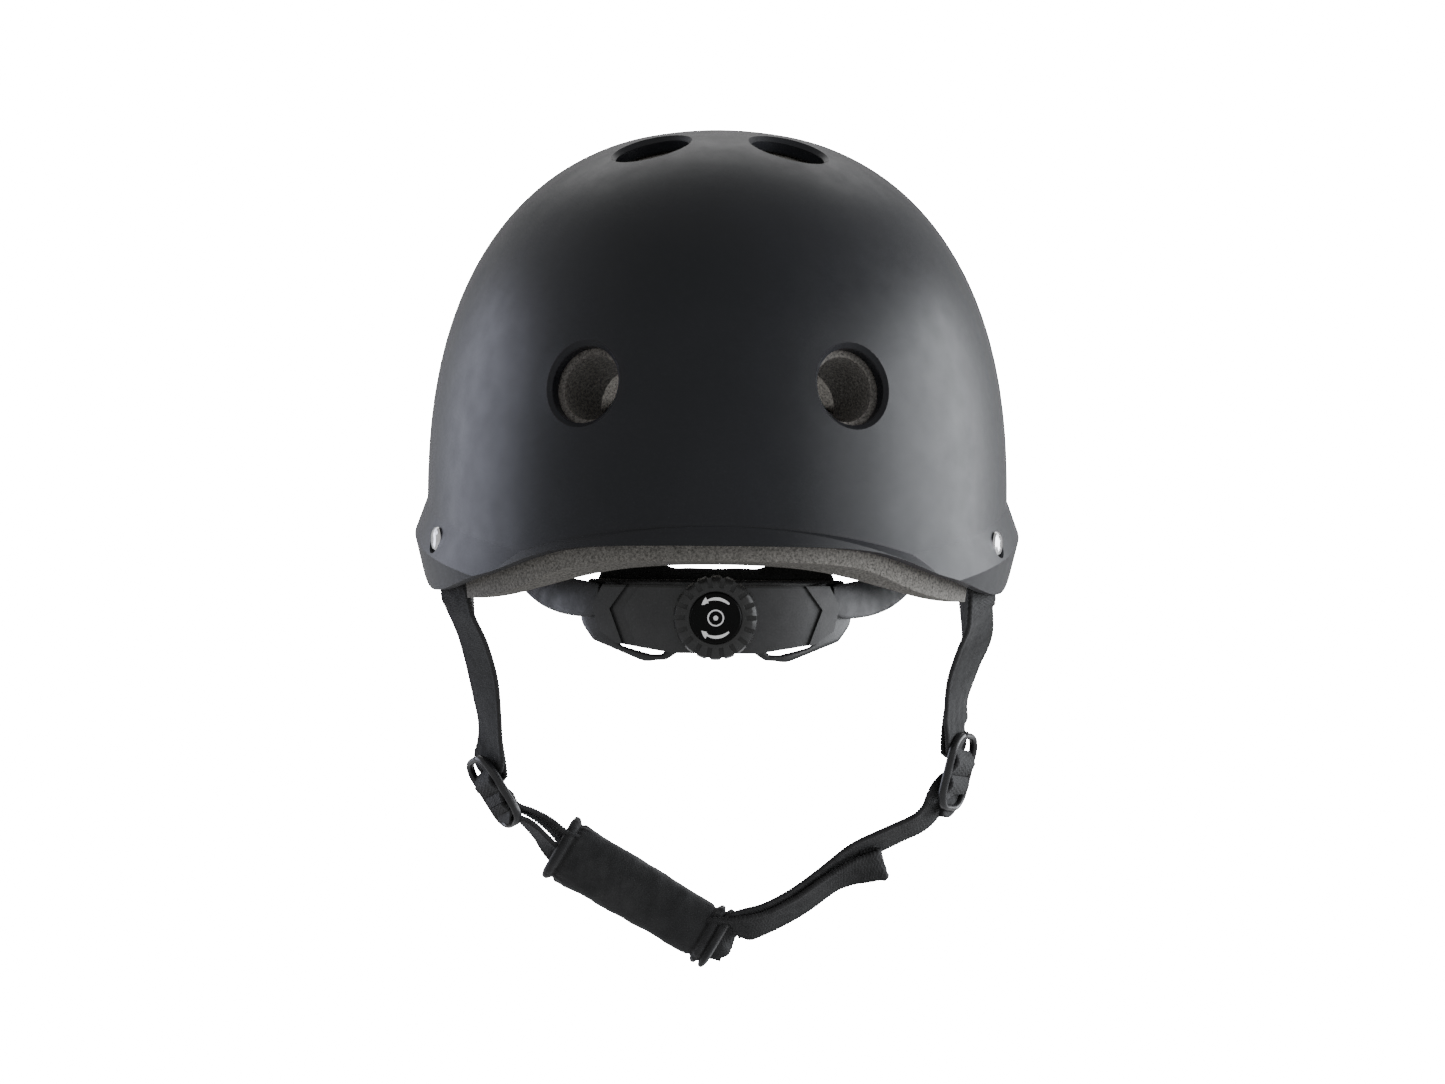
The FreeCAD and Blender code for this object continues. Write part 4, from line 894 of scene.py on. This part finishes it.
# ---------------------------------------------------------------- soft pieces
HEM_HEIGHTS = (-16.0, -9.5)  # the hem rises between these heights
HEM_SIDES = (13.0, 21.0)  # and rises further between these distances from the middle
HEM_RISE = 0.9
HEM_SIDE_RISE = 2.4
HEM_LEAN = 3.4


def smooth_share(value, start, end):
    """0 before start, 1 after end and a soft step between."""
    share = min(1.0, max(0.0, (value - start) / (end - start)))
    return share * share * (3 - 2 * share)


def raise_hem(obj):
    """The nape pad's upper hem stands higher beside its middle and leans in towards the head."""
    for vertex in obj.data.vertices:
        share = smooth_share(vertex.co.z / MM, *HEM_HEIGHTS)
        beside = smooth_share(abs(vertex.co.x) / MM, *HEM_SIDES)
        vertex.co.z += (HEM_RISE + HEM_SIDE_RISE * beside) * share * MM
        vertex.co.y += HEM_LEAN * share * MM
    return obj


def make_soft_pieces():
    """The comfort pads, each a stuffed cover filled by cloth simulation, and the nape pad, which is shaped
    without it.
    """
    pads = ("brow_pad", "rear_pad", "crown_pad", "left_side_pad", "right_side_pad")
    pieces = [even_piece(node, 3.0, 1.0) for node in pads]
    nape = raise_hem(even_piece("cradle_pad", 2.0, 0.3))
    for obj in pieces:
        add_cloth(obj, 4.0)
    run_cloth(pieces, 1.8)
    for obj, node in zip(pieces, pads):
        finish_soft(obj, node, "pad", "helmet", 0.25)
    finish_soft(nape, "cradle_pad", "neoprene", "cradle", 0.12)


# ---------------------------------------------------------------- stage, light and camera
FLOOR_RADIUS = 1.9  # the stage, the lights and the camera are placed in metres
FLOOR_BEND = 0.8
WALL_HEIGHT = 3.2
FLOOR_GAP = 0.045
LIGHT_AIM = Vector((0, 0, 0.02))


def make_stage():
    """A round pale studio floor that curves up into a wall on every side."""
    profile = [(0.0, 0.0), (FLOOR_RADIUS, 0.0)]
    bend_steps, spokes = 12, 72
    for step in range(1, bend_steps + 1):
        angle = math.pi / 2 * step / bend_steps
        profile.append((FLOOR_RADIUS + FLOOR_BEND * math.sin(angle), FLOOR_BEND * (1 - math.cos(angle))))
    profile.append((FLOOR_RADIUS + FLOOR_BEND, WALL_HEIGHT))
    floor = CAD_BOUNDS[0][2] - FLOOR_GAP
    points = []
    for radius, height in profile:
        for spoke in range(spokes):
            angle = 2 * math.pi * spoke / spokes
            points.append(Vector((radius * math.cos(angle), radius * math.sin(angle), floor + height)) / MM)
    MATERIALS["stage"] = stage_paint()
    new_piece("studio_floor", points, tube_faces(len(profile), spokes, capped=False), "stage")


def stage_paint():
    """A pale matt floor that looks almost white and throws back only a little light."""
    paint = Paint("studio_white", (0.35, 0.35, 0.35), 0.9, specular=0.1)
    paint.shader.inputs["Emission Color"].default_value = (1, 1, 1, 1)
    paint.shader.inputs["Emission Strength"].default_value = 0.32
    glow = paint.node("ShaderNodeEmission")
    glow.inputs["Color"].default_value = (1, 1, 1, 1)
    glow.inputs["Strength"].default_value = 24.0
    path = paint.node("ShaderNodeLightPath")
    mix = paint.node("ShaderNodeMixShader")
    paint.link(path.outputs["Is Camera Ray"], mix.inputs["Fac"])
    paint.link(paint.shader.outputs["BSDF"], mix.inputs[1])
    paint.link(glow.outputs["Emission"], mix.inputs[2])
    paint.link(mix.outputs["Shader"], paint.tree.nodes["Material Output"].inputs["Surface"])
    return paint.material


def add_softbox(name, place, size, power, colour):
    """An area light that faces the helmet."""
    light = bpy.data.lights.new(name, "AREA")
    light.shape = "RECTANGLE"
    light.size, light.size_y = size
    light.energy = power
    light.color = colour
    aim_light(link_object(name, light), Vector(place), LIGHT_AIM - Vector(place))


def aim_light(obj, place, direction):
    obj.location = place
    obj.rotation_euler = direction.to_track_quat("-Z", "Y").to_euler()


def make_light():
    """Large softboxes beside and a little behind the helmet; the camera's side stays dim."""
    add_softbox("softbox_left", (-1.08, 0.42, 0.02), (0.9, 1.1), 9.5, (0.80, 0.83, 1.0))
    add_softbox("softbox_right", (1.12, 0.22, 0.02), (1.1, 1.1), 28, (0.93, 0.96, 1.0))
    add_softbox("softbox_right_front", (0.98, -0.55, 0.05), (0.6, 1.1), 6, (0.95, 0.97, 1.0))
    add_softbox("softbox_back", (0.0, 1.00, 1.15), (1.4, 0.7), 4, (1.0, 1.0, 1.0))
    add_softbox("fill_low", (0.25, -1.5, -0.45), (0.9, 0.5), 4, (1.0, 1.0, 1.0))
    inner = bpy.data.lights.new("liner_glow", "SPOT")
    inner.energy = 0.5
    inner.spot_size = math.radians(110)
    inner.spot_blend = 0.6
    inner.shadow_soft_size = 0.03
    aim_light(link_object("liner_glow", inner), Vector((-0.035, -0.05, 0.0)), Vector((0.0, 0.14, 0.055)))
    world = bpy.data.worlds.new("studio_air")
    world.use_nodes = True
    world.node_tree.nodes["Background"].inputs["Color"].default_value = (1.0, 1.0, 1.0, 1)
    world.node_tree.nodes["Background"].inputs["Strength"].default_value = 0.45
    bpy.context.scene.world = world


def make_camera():
    """Level with the shell's rear rim, straight behind the helmet."""
    distance, width = 1.300, 0.520
    camera = bpy.data.cameras.new("camera")
    camera.sensor_width = 36.0
    camera.lens = camera.sensor_width * distance / width
    obj = link_object("camera", camera)
    obj.location = (0.002, -distance, 0.0)
    level, tilt = math.radians(90), math.radians(0.5)
    obj.rotation_euler = (Matrix.Rotation(level, 3, "X") @ Matrix.Rotation(tilt, 3, "Z")).to_euler()
    bpy.context.scene.camera = obj


make_camera()
make_stage()
make_light()
paint_cad_nodes()
make_moulded_pieces()
make_dividers()
make_dial_marks()
make_bands()
make_legs()
make_left_chin_strap()
make_right_chin_strap()
make_loose_end()
make_chin_sleeve()
make_soft_pieces()
